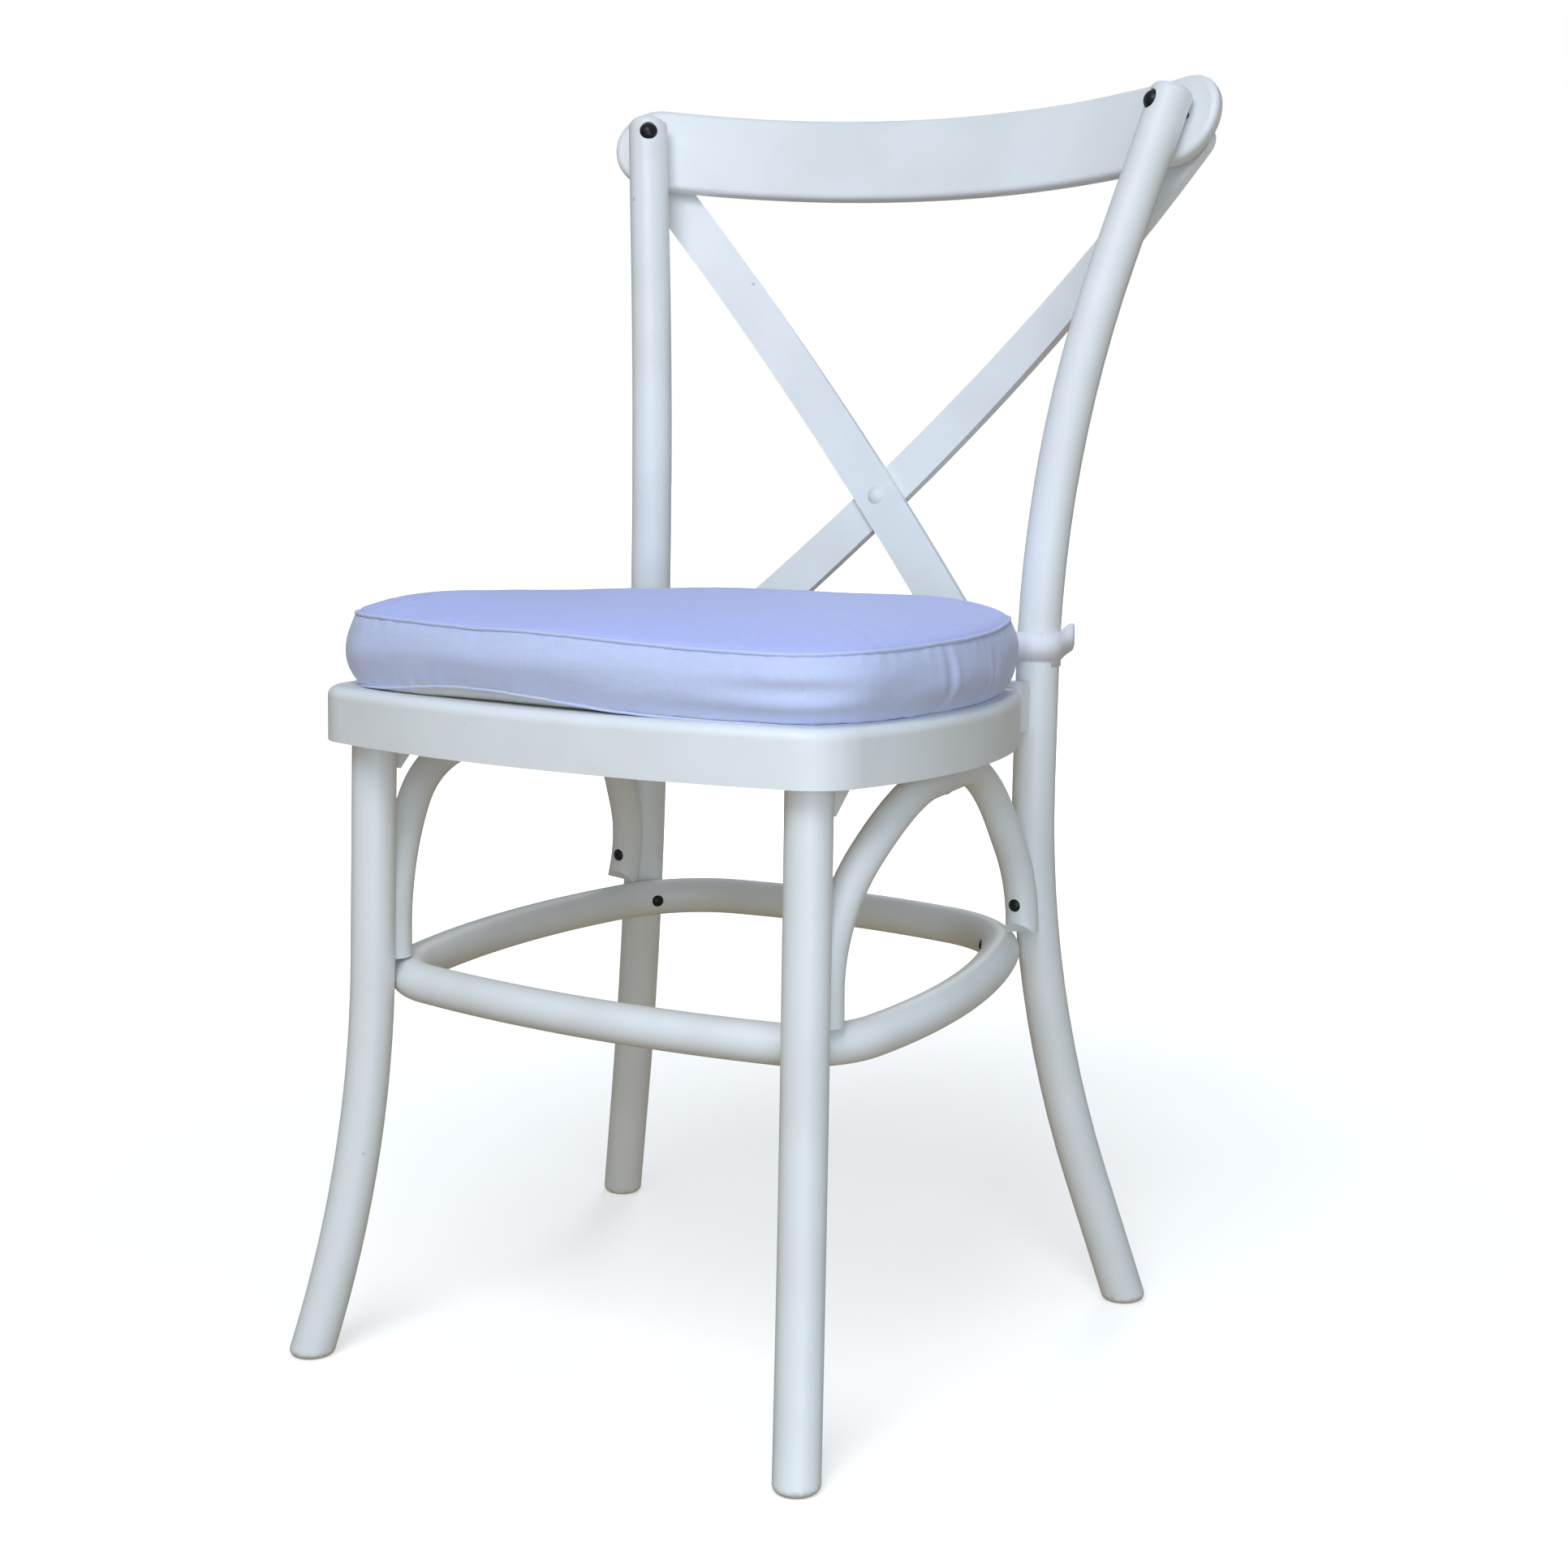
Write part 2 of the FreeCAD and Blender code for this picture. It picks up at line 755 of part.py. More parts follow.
def rail_half_length():
    """The rail ends flush with the back corners of the ring."""
    drop = ring_back + size("ring_side_reach")
    radius = size("ring_side_radius")
    return size("ring_side_spread") - radius + math.sqrt(radius ** 2 - drop ** 2)


keep("seat_frame", seat_frame())
keep("seat_panel", seat_panel())


# Crest rail


def crest_rail_blank():
    half_angle = size("crest_half_length") / crest_radius
    back_radius = crest_radius + size("crest_thickness")

    def end(radius):
        return crest_centre + Vector(radius * math.sin(half_angle), radius * math.cos(half_angle), 0)

    front_end = end(crest_radius)
    back_end = end(back_radius)
    plan = [
        short_arc(crest_centre, front_end, mirrored(front_end)),
        Part.LineSegment(mirrored(front_end), mirrored(back_end)),
        short_arc(crest_centre, mirrored(back_end), back_end),
        Part.LineSegment(back_end, front_end),
    ]
    board = body_at("crest_board", crest_place)
    sketch = sketch_on(board, "crest_plan", "XY_Plane", plan, -size("crest_width") / 2)
    pad(board, "crest_pad", sketch, "Dims.crest_width")

    ear = size("crest_width") / 2
    middle = front_end.x - ear
    right_top = Vector(middle, ear, 0)
    right_low = Vector(middle, -ear, 0)
    face = [
        Part.LineSegment(mirrored(right_top), right_top),
        Part.Arc(right_top, Vector(front_end.x, 0, 0), right_low),
        Part.LineSegment(right_low, mirrored(right_low)),
        Part.Arc(mirrored(right_low), Vector(-front_end.x, 0, 0), mirrored(right_top)),
    ]
    depth = 4 * SPARE
    outline = body_at("crest_outline", crest_place)
    sketch = sketch_on(outline, "crest_face", "XZ_Plane", face, -depth)
    item = outline.newObject("PartDesign::Pad", "crest_face_pad")
    item.Profile = sketch
    item.Length = 2 * depth
    common = doc.addObject("Part::Common", "crest_common")
    common.Base = board
    common.Tool = outline
    return common


def on_crest_faces(edge):
    """Edges round the front and back of the board, without the short ones across its thickness."""
    return edge.Length > 2 * size("crest_thickness")


# Slats: thin bent laths from the back of an ear, through the crossing, to the rear seat rail

# Even steps along a slat between the sections of its loft.
SLAT_STEPS = 12


def slat_stations(side, layer):
    """Centre points of a slat: its end behind an ear, the crossing, a low point and its foot at the rail."""
    half = size("slat_thickness") / 2
    behind = size("crest_thickness") + gap + half
    end = on_crest(side * slat_end_spread, behind, -size("slat_end_drop"))
    offset = cross_normal * layer * (half + size("slat_gap") / 2)
    cross = Vector(0, size("cross_reach"), size("cross_height")) + offset
    low = Vector(-side * size("slat_low_spread"), size("slat_low_reach"), size("slat_low_height")) + offset
    foot_spread = post_at_seat.x - leg_radius - size("slat_foot_inset")
    foot = seat_place.multVec(Vector(-side * foot_spread, rail_back, size("slat_foot_lift")))
    return end, cross, low, foot


def slat_curve(stations):
    """Smooth curve over a share of the height: a parabola to the low point, then a bend to the foot."""
    end, foot = stations[0], stations[-1]
    shares = [(end.z - station.z) / (end.z - foot.z) for station in stations[:3]]

    def parabola(part):
        total = Vector()
        for station, share in zip(stations, shares):
            others = [other for other in shares if other != share]
            total += station * math.prod((part - other) / (share - other) for other in others)
        return total

    def point(part):
        bend = max(0.0, part - shares[2]) / (1 - shares[2])
        return parabola(part) + (foot - parabola(1)) * bend ** 2

    return point, shares[1]


def wrapped_normal(along, x):
    """Normal of a slat that lies on a back as hollow as the crest rail, at a distance from its middle."""
    angle = x / crest_radius
    level_line = Vector(math.cos(angle), -math.sin(angle), 0)
    return level_line.cross(along).normalize()


def tangent(point, part):
    step = 0.001
    return (point(part + step) - point(part - step)).normalize()


class Slat:
    def __init__(self, label, side, layer):
        self.label = label
        self.side = side
        self.stations = slat_stations(side, layer)
        self.point, self.share = slat_curve(self.stations)
        runs = zip(self.stations, self.stations[1:])
        self.length = sum((after - before).Length for before, after in runs)

    def section(self, part):
        """Centre and axes of a section: across, through the thickness, along."""
        centre = self.point(part)
        along = tangent(self.point, part)
        wrapped = wrapped_normal(along, centre.x)
        turn = max(0.0, 1 - part / self.share) ** 2
        normal = wrapped + (crest_normal(self.side * slat_end_spread) - wrapped) * turn
        normal = (normal - along * normal.dot(along)).normalize()
        return centre, normal.cross(along), normal, along

    def blank(self):
        """Loft through rectangles; it runs past the rear rail, where its foot is cut off flush."""
        sections = []
        for number in range(SLAT_STEPS + 2):
            centre, across, normal, along = self.section(number / SLAT_STEPS)
            item = doc.addObject("Part::Plane", f"{self.label}_section_{number}")
            bind(item, Length="Dims.slat_width", Width="Dims.slat_thickness")
            corner = centre - across * (size("slat_width") / 2) - normal * (size("slat_thickness") / 2)
            item.Placement = Placement(corner, Rotation(across, normal, along, "ZXY"))
            sections.append(item)
        loft = doc.addObject("Part::Loft", self.label + "_loft")
        loft.Sections = sections
        loft.Solid = True
        return loft

    def at_end(self, edge):
        """The two short edges across the thickness, behind the ear."""
        short = edge.Length < size("slat_width") / 2
        return short and (edge.CenterOfMass - self.stations[0]).Length < size("slat_width")

    def screw(self, name, inset, grip):
        """Screw square to the back of the slat, at a distance from one of its ends."""
        part = inset / self.length if name == "end" else 1 - inset / self.length
        centre, _, normal, _ = self.section(part)
        surface = centre + normal * (size("slat_thickness") / 2)
        return Fastener(f"{self.label}_{name}_screw", surface, normal, size("slat_thickness") + grip)


def rough_cross_normal():
    """Normal of both slats at their crossing, from the middle curve between them."""
    point, share = slat_curve(slat_stations(1, 0))
    return wrapped_normal(tangent(point, share), 0)


cross_normal = Vector(REAR)
cross_normal = rough_cross_normal()
cross_point = Vector(0, size("cross_reach"), size("cross_height"))
slats = [Slat("back_slat_front", -1, -1), Slat("back_slat_back", 1, 1)]
end_grip = gap + size("crest_thickness") * 0.7
foot_grip = size("rail_thickness")
end_screws = [slat.screw("end", size("slat_screw_inset"), end_grip) for slat in slats]
foot_screws = [slat.screw("foot", size("slat_screw_inset"), foot_grip) for slat in slats]
cross_depth = size("slat_thickness") + size("slat_gap") / 2
cross_bolt = Fastener(
    "cross_bolt", cross_point - cross_normal * cross_depth, -cross_normal,
    2 * cross_depth + size("nut_height"), True, True,
)
rail_corner = Placement(Vector(-WIDE / 2, rail_back - WIDE, -WIDE / 2), Rotation())
rail_tool = box("rail_front_tool", seat_place.multiply(rail_corner), WIDE, WIDE, WIDE)

for slat, end_screw, foot_screw in zip(slats, end_screws, foot_screws):
    rooms = [screw.room(slat.label) for screw in (end_screw, foot_screw, cross_bolt)]
    flush = cut(slat.label + "_flush", slat.blank(), [rail_tool])
    shaped = rounded(slat.label + "_shaped", flush, slat.at_end, size("slat_end_round"))
    keep(slat.label, cut(slat.label + "_part", shaped, rooms))

crest_tools = [crest_screw_right.room("crest")]
crest_tools = mirrored_tools("crest_tool", crest_tools) + [screw.room("crest") for screw in end_screws]
crest_shaped = rounded("crest_shaped", crest_rail_blank(), on_crest_faces, size("crest_round"))
keep("crest_rail", cut("crest_rail_part", crest_shaped, crest_tools))


def rear_rail():
    half = rail_half_length()
    place = seat_place.multiply(Placement(Vector(-half, ring_back, size("rail_lift")), Rotation()))
    item = box("rail_blank", place, 2 * half, 0, 0)
    bind(item, Width="Dims.rail_thickness", Height="Dims.rail_height")
    tools = mirrored_tools("rail_tool", [rail_bolt_right.room("rail")])
    return cut("rear_rail_part", item, tools + [screw.room("rail") for screw in foot_screws])


keep("rear_seat_rail", rear_rail())


# Stretcher hoop, side arches and corner blocks


def hoop():
    rod = swept_rod("hoop", hoop_wire(), "Dims.hoop_diameter")
    tools = [hoop_screw_front.room("hoop"), hoop_screw_back.room("hoop")]
    return cut("hoop_part", rod, mirrored_tools("hoop_tool", tools))


def arch():
    """Bent rod with its ends hollowed to fit the leg and the post."""
    rod = swept_rod("arch", arch_wire, "Dims.arch_diameter")
    end = arch_corners[-1]
    bevel = size("arch_bevel")
    width = 4 * arch_radius
    place = Placement(end + Vector(-width / 2, bevel - arch_radius, 0), Rotation(Vector(1, 0, 0), 135))
    wedge = box("arch_bevel_tool", place, width, SPARE, SPARE)
    coped = "Dims.leg_diameter + 2 * Dims.fit_clearance"
    copes = [swept_rod("arch_front_cope", front_wire, coped), swept_rod("arch_back_cope", post_wire, coped)]
    screws = [arch_screw_front, arch_screw_back, arch_screw_top]
    shaped = cut("arch_coped", rod, copes + [wedge])
    return cut("arch_part", shaped, [screw.room("arch") for screw in screws])


def corner_block():
    """Triangular block against the back of a front leg and the underside of the ring."""
    place = Placement(seat_place.Base, seat_place.Rotation)
    start = leg_radius + gap - size("front_top_reach")
    low = -size("block_height")
    points = [Vector(start, 0, 0), Vector(start + size("block_length"), 0, 0), Vector(start, low, 0)]
    outline = [Part.LineSegment(points[index], points[(index + 1) % 3]) for index in range(3)]
    body = body_at("corner_block_body", place)
    lift = size("front_top_spread") - size("block_width") / 2
    sketch = sketch_on(body, "corner_block_outline", "YZ_Plane", outline, lift)
    pad(body, "corner_block_pad", sketch, "Dims.block_width")
    return body


keep("stretcher_hoop", hoop())
pair("side_arch", arch())
pair("corner_block", corner_block())


# Cushion and its straps


def on_cushion_rim(edge):
    centre = edge.CenterOfMass
    flat = edge.BoundBox.ZLength < gap
    return flat and not gap < centre.z - ring_thickness < size("cushion_height") - gap


def cushion():
    body = body_at("cushion_body", Placement())
    inset = size("cushion_inset")
    outline = seat_outline(inset, size("cushion_corner_radius"), ring_back - 2 * gap)
    sketch = sketch_on(body, "cushion_outline", "XY_Plane", outline, ring_thickness)
    pad(body, "cushion_pad", sketch, "Dims.cushion_height")
    item = rounded("cushion_rounded", body, on_cushion_rim, size("cushion_round"))
    item.Placement = seat_place
    return item


def strap():
    """Band round a post with a tail that reaches to the cushion."""
    middle = axis_at(post_wire, level(size("strap_height")))
    half = size("strap_width") / 2
    run = axis_at(post_wire, level(middle.z + half)) - axis_at(post_wire, level(middle.z - half))
    place = Placement(middle, Rotation(UP, run)).multiply(level(-half))
    outer_radius = "Dims.leg_diameter / 2 + 2 * Dims.fit_clearance + Dims.strap_thickness"
    outer = cylinder("strap_outer", place, outer_radius, "Dims.strap_width")
    inner_radius = "Dims.leg_diameter / 2 + 2 * Dims.fit_clearance"
    lower = place.multiply(level(-SPARE))
    inner = cylinder("strap_inner", lower, inner_radius, f"Dims.strap_width + {2 * SPARE}")
    rise = size("strap_height") - size("seat_underside")
    cushion_back = seat_place.multVec(Vector(0, ring_back + gap, rise))
    length = middle.y - leg_radius - cushion_back.y
    corner = Vector(middle.x - leg_radius / 2, cushion_back.y, middle.z - half)
    tail = box("strap_tail", Placement(corner, Rotation()), 0, length, 0)
    bind(tail, Length="Dims.strap_thickness", Height="Dims.strap_width")
    return cut("strap_part", united("strap_joined", [outer, tail]), [inner])


keep("cushion", cushion())
pair("cushion_strap", strap())


# Fastener nodes


group("crest_screws", [crest_screw_right.solid()])
group("rail_bolts", [rail_bolt_right.solid()])
group("arch_screws", [screw.solid() for screw in (arch_screw_front, arch_screw_back)])
group("arch_top_screws", [arch_screw_top.solid()])
group("hoop_screws", [screw.solid() for screw in (hoop_screw_front, hoop_screw_back)])


def screw_set(label, screws):
    item = doc.addObject("Part::Compound", label + "_set")
    item.Links = [screw.solid() for screw in screws]
    keep(label, item)


screw_set("slat_end_screws", end_screws)
screw_set("slat_foot_screws", foot_screws)
keep("slat_cross_bolt", cross_bolt.solid())


def cross_nut():
    """Round nut behind the crossing, with a bore for the bolt."""
    place = Placement(cross_point + cross_normal * (cross_depth + gap), Rotation(UP, cross_normal))
    height = "Dims.nut_height + 2 * Dims.fit_clearance"
    blank = cylinder("cross_nut_blank", place, "Dims.nut_diameter / 2", height)
    return cut("cross_nut_part", blank, [cross_bolt.room("nut")])


keep("slat_cross_nut", cross_nut())


# Checks and export


doc.recompute()
faults = [item.Name for item in doc.Objects if {"Invalid", "Error"} & set(item.State)]
for label, item in nodes.items():
    shape = item.Shape
    if shape.isNull() or not shape.isValid() or not shape.Solids:
        faults.append(label)
if faults:
    raise RuntimeError("failed objects: " + ", ".join(faults))

os.makedirs("parts", exist_ok=True)
for label, item in nodes.items():
    item.Shape.exportStep(f"parts/{label}.step")
print(len(nodes), "nodes written")
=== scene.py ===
import math

import bmesh
import bpy
import numpy as np
from bpy.props import FloatProperty, FloatVectorProperty, PointerProperty
from mathutils import Matrix, Vector
from mathutils import noise as smooth_noise
from mathutils.kdtree import KDTree


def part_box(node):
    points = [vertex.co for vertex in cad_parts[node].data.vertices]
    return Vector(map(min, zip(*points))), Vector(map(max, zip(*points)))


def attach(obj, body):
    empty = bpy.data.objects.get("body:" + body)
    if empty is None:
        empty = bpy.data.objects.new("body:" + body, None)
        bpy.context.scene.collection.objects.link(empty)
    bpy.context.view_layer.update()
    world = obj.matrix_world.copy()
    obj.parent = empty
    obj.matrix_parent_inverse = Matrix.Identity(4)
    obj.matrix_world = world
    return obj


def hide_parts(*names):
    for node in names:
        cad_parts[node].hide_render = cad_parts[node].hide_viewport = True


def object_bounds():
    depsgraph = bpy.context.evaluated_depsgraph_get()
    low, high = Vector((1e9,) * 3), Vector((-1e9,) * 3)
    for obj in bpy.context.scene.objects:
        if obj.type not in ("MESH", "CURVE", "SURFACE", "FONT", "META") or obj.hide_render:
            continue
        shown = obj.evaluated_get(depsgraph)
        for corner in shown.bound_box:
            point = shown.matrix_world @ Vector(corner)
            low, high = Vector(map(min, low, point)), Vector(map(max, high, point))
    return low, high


bl_info = {
    "name": "Cross back chair",
    "version": (1, 0, 0),
    "blender": (4, 5, 0),
    "location": "View3D > Sidebar > Chair",
    "description": "Painted bent wood chair with a crossed back and a strapped-on box cushion",
    "category": "Object",
}

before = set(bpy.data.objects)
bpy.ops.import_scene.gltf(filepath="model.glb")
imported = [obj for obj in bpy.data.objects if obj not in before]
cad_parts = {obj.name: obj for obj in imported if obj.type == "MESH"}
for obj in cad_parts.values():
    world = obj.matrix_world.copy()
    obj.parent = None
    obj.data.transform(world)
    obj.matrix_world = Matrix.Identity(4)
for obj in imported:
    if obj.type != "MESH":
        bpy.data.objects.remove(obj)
CAD_BOX = [list(corner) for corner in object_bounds()]

MM = 0.001
BODY = "root"

PAINTED_NODES = (
    "front_leg_left", "front_leg_right", "back_post_left", "back_post_right", "seat_frame",
    "rear_seat_rail", "crest_rail", "back_slat_front", "back_slat_back", "stretcher_hoop",
    "side_arch_left", "side_arch_right", "corner_block_left", "corner_block_right",
)
PANEL_NODES = ("seat_panel",)
PAINTED_STEEL_NODES = ("slat_cross_bolt",)
BLACK_STEEL_NODES = (
    "crest_screws", "rail_bolts", "arch_screws", "arch_top_screws",
    "hoop_screws", "slat_end_screws", "slat_foot_screws", "slat_cross_nut",
)

# Real sizes of the patterns in the finishes.
PAINT_PATCH = 70 * MM
SCUFF_GRIT = 4 * MM
RUBBED_RIM = (6 * MM, 13 * MM)
RIM_UNEVEN = 14 * MM
OXIDE_MARK = 1.5 * MM
PLY_GRAIN = (160 * MM, 9 * MM, 2 * MM)
CLOTH_PATCH = 70 * MM
FLOOR_PATCH = 667 * MM

# Length of a slub in a thread, as a number of threads.
SLUB = 14
COTTON_SHEEN = 0.2
TAPE_SHEEN = 0.4

# Folds in the cushion's border, in millimetres in the seat's own plane: where each lies,
# how far it reaches along each axis, and how far it stands out or, below zero, dips in.
FOLDS = (
    ((211, -96, 24), (12, 3.2, 19), 2.0),
    ((211, -104, 24), (12, 3.4, 17), -1.9),
    ((211, -112, 27), (12, 3.2, 14), 1.1),
    ((211, -36, 18), (12, 3.4, 15), 1.5),
    ((211, -27, 18), (12, 3.4, 15), -1.6),
    ((211, -16, 20), (12, 3.6, 16), 1.6),
    ((178, -226, 31), (42, 36, 5.0), 2.1),
    ((182, -226, 23), (46, 36, 4.6), -2.4),
    ((176, -226, 14), (54, 36, 5.0), 2.7),
    ((-60, -248, 16), (70, 16, 7.0), -1.2),
    ((40, -248, 28), (60, 16, 7.0), 1.0),
)

# Where the cushion has settled out of level, in millimetres in the seat's own plane: the place
# of each rise or, below zero, sag of its top, how far that reaches along each axis, and its height.
SAGS = (
    ((-175, -225), (150, 150), 4.0),
    ((165, -225), (90, 110), -3.0),
    ((0, -250), (45, 50), 1.2),
    ((-105, -60), (75, 120), -6.5),
    ((170, 75), (100, 90), 4.5),
)

# The front left of the border rolls up, so that the lining shows under its seam. The air under
# it reaches further along the border, up to a height, and only at the rim of the cushion.
ROLLED_PLACE = np.array((-75, -250)) * MM
ROLLED_REACH = np.array((95, 60)) * MM
CREVICE_SPREAD = 1.5
CREVICE_REACH = 24 * MM
RIM_START = 0.86

# The border rises in even steps, and the crowned top at these distances from its seam,
# in millimetres.
BORDER_STEPS = 8
CROWN_STEPS = (7, 18, 40, 80, 140)

# Slow waves of the cloth: their size along each axis, their height on the flat panels, and what
# the border adds to that.
WAVE_SIZE = (55 * MM, 55 * MM, 16 * MM)
WAVE_HEIGHT = 0.6 * MM
BORDER_WAVE_HEIGHT = 0.9 * MM

# Gathers beside a seam: their height, how far they reach, and how near the cloth stays flat.
GATHER_HEIGHT = 0.45 * MM
GATHER_REACH = 9 * MM
SEAM_FLAT = 1.5 * MM

# Where a strap pulls on a back corner: in from the side, in from the back and up from the seat,
# how far that reaches along each axis, and its share along each side.
PULL_PLACE = np.array((12, 22, 24)) * MM
PULL_REACH = np.array((26, 34, 9)) * MM
PULL_SHARE = 0.7

# While the cover is filled, it is held fast near its seams and where it rests on the seat.
HOLD_FULL = 1.3
HOLD_REACH = 7 * MM
HOLD_BASE = 3 * MM
HOLD_LEAST = 0.01
FILL_FRAMES = 20

# The piping follows the cover's nearest points, and is thinner in the bottom seam.
NEAR_POINTS = 6
BOTTOM_PIPING = 0.7

# Distances within which points are merged: of the solid's loose triangles, and of its outline.
MERGED = 0.01 * MM
OUTLINE_STEP = 1.5 * MM

# The tape of a strap: where its inner layer starts and how far it turns, where its outer layer
# starts and ends, the air between them, how its loose end bends back in steps and is rounded,
# the steps to the cushion, and how far the strap's solid stands out from the post.
INNER_START, INNER_TURN, INNER_STEPS = math.radians(-95), math.radians(350), 56
OUTER_START, OUTER_END, OUTER_STEPS = math.radians(-100), math.radians(2), 24
LAYER_GAP = 0.4 * MM
TAB_STEPS, TAB_BEND = 5, math.radians(7)
TAB_CORNER, TAB_CORNER_STEPS = 4 * MM, 3
TAIL = ((-4, 0.4, 0), (-4, -1.6, 0), (-3, -3.6, 0), (-1.6, -5, 0), (-0.6, -6, 0), (0, -5, 0))
STRAP_STAND = 2.6 * MM

# The floor's radius in metres, and its glow under the chair.
FLOOR_RADIUS = 14.0
FLOOR_GLOW = 0.36

# Sockets of a mix node when it mixes colours: its share, its two colours, and its result.
SHARE, FIRST, SECOND, MIXED = 0, 6, 7, 2
COLOURS = {"data_type": "RGBA"}


# Settings


def linear(code):
    """Linear RGBA of an sRGB hex colour."""
    channels = [int(code[start:start + 2], 16) / 255 for start in (1, 3, 5)]
    curve = [c / 12.92 if c <= 0.04045 else ((c + 0.055) / 1.055) ** 2.4 for c in channels]
    return (*curve, 1.0)


def length(label, description, millimetres):
    return FloatProperty(
        name=label, description=description, default=millimetres * MM,
        min=0.0, unit="LENGTH", precision=4,
    )


def angle(label, description, degrees):
    return FloatProperty(
        name=label, description=description, default=math.radians(degrees), subtype="ANGLE"
    )


def colour(label, description, code):
    return FloatVectorProperty(
        name=label, description=description, default=linear(code),
        size=4, min=0.0, max=1.0, subtype="COLOR",
    )


def power(label, description, watts):
    return FloatProperty(
        name=label, description=description, default=watts, min=0.0, unit="POWER"
    )


def strength(label, description, share):
    return FloatProperty(name=label, description=description, default=share, min=0.0)


class ChairFinish(bpy.types.PropertyGroup):
    paint: colour("Paint", "Off-white satin paint of the wooden frame", "#EFF1F0")
    paint_dull: colour("Paint, dull", "Paint where the coat is thinner", "#E9EBE9")
    scuff: colour("Scuffs", "Small rubbed marks in the paint, and the rubbed rims of the feet", "#B5B1A8")
    screw: colour("Screws", "Black oxide of the screw heads", "#141417")
    screw_rubbed: colour("Screws, rubbed", "Black oxide where it is handled", "#2E2E33")
    panel: colour("Plywood", "Lighter tone of the seat panel", "#D8C29A")
    panel_grain: colour("Plywood, grain", "Darker grain of the seat panel", "#B89A68")
    # The top panel's tone is the border's cotton made darker and bluer: painted shade for the top, which
    # gets less light than the front of the border.
    cloth_top_painted_shade: colour("Cushion top", "Cloth of the cushion's top panel", "#BEC6FA")
    cloth_side: colour("Cushion side", "Cloth of the cushion's border and piping", "#CAD2F0")
    lining: colour("Cushion underside", "Plain lining under the cushion", "#D4D2CE")
    tape: colour("Strap tape", "Pale tape of the straps", "#EFEEF3")
    peel: length("Paint texture", "Size of the soft ripple in the sprayed coat", 2.5)
    speck: length("Scuff spacing", "Distance between the small rubbed marks", 60.0)
    thread: length("Thread spacing", "Distance between the cloth's threads as drawn", 1.3)


class ChairCushion(bpy.types.PropertyGroup):
    seat_height: length("Seat underside", "Height of the seat's underside on the centre line", 423.2)
    seat_slope: angle("Seat slope", "Fall of the seat toward the back", 1.72)
    border: length("Border height", "Height of the cushion's side between its seams", 46.0)
    crown: length("Crown", "How far the top stands above its seam", 14.0)
    roll: length("Crown roll", "Distance from the seam over which the top rises", 12.0)
    side_clear: length("Side clearance", "How far the widest part of the side lies inside its room", 0.5)
    top_tuck: length("Top seam inset", "How far the top seam lies inside the room", 7.0)
    bottom_tuck: length("Bottom seam inset", "How far the bottom seam lies inside the room", 10.0)
    swell: length("Most swell", "Furthest that the filling may push the cover", 9.0)
    voxel: length("Cover mesh", "Size of the cover's mesh before it is filled", 4.3)
    piping: length("Piping", "Diameter of the piped seams", 2.8)
    rolled: length("Rolled edge", "How far the bottom seam climbs at the front left", 4.5)
    crevice: length("Crevice", "How far the rolled edge stands off the seat", 8.0)
    aside: length("Off centre", "How far the loose cushion lies to the right of the middle", 3.0)
    waist: length("Strap pull", "How far a strap pulls the side in at a back corner", 3.0)
    pucker: length("Pucker spacing", "Distance between the small gathers beside the seams", 13.0)


class ChairStraps(bpy.types.PropertyGroup):
    width: length("Tape width", "Width of the strap tape", 20.0)
    thickness: length("Tape thickness", "Thickness of the strap tape", 1.4)
    post_radius: length("Post radius", "Radius of the post that the tape goes round", 15.3)
    slack: length("Slack", "Air between the tape and the post", 0.5)
    height: length("Strap height", "Height of the middle of the tape", 486.0)
    step_down: length("Layer step", "How far the inner layer shows below the outer one", 5.0)
    tab: length("Loose end", "Length of the end that stands away from the post", 15.0)
    tab_rise: length("Loose end rise", "How far the loose end climbs", 6.0)


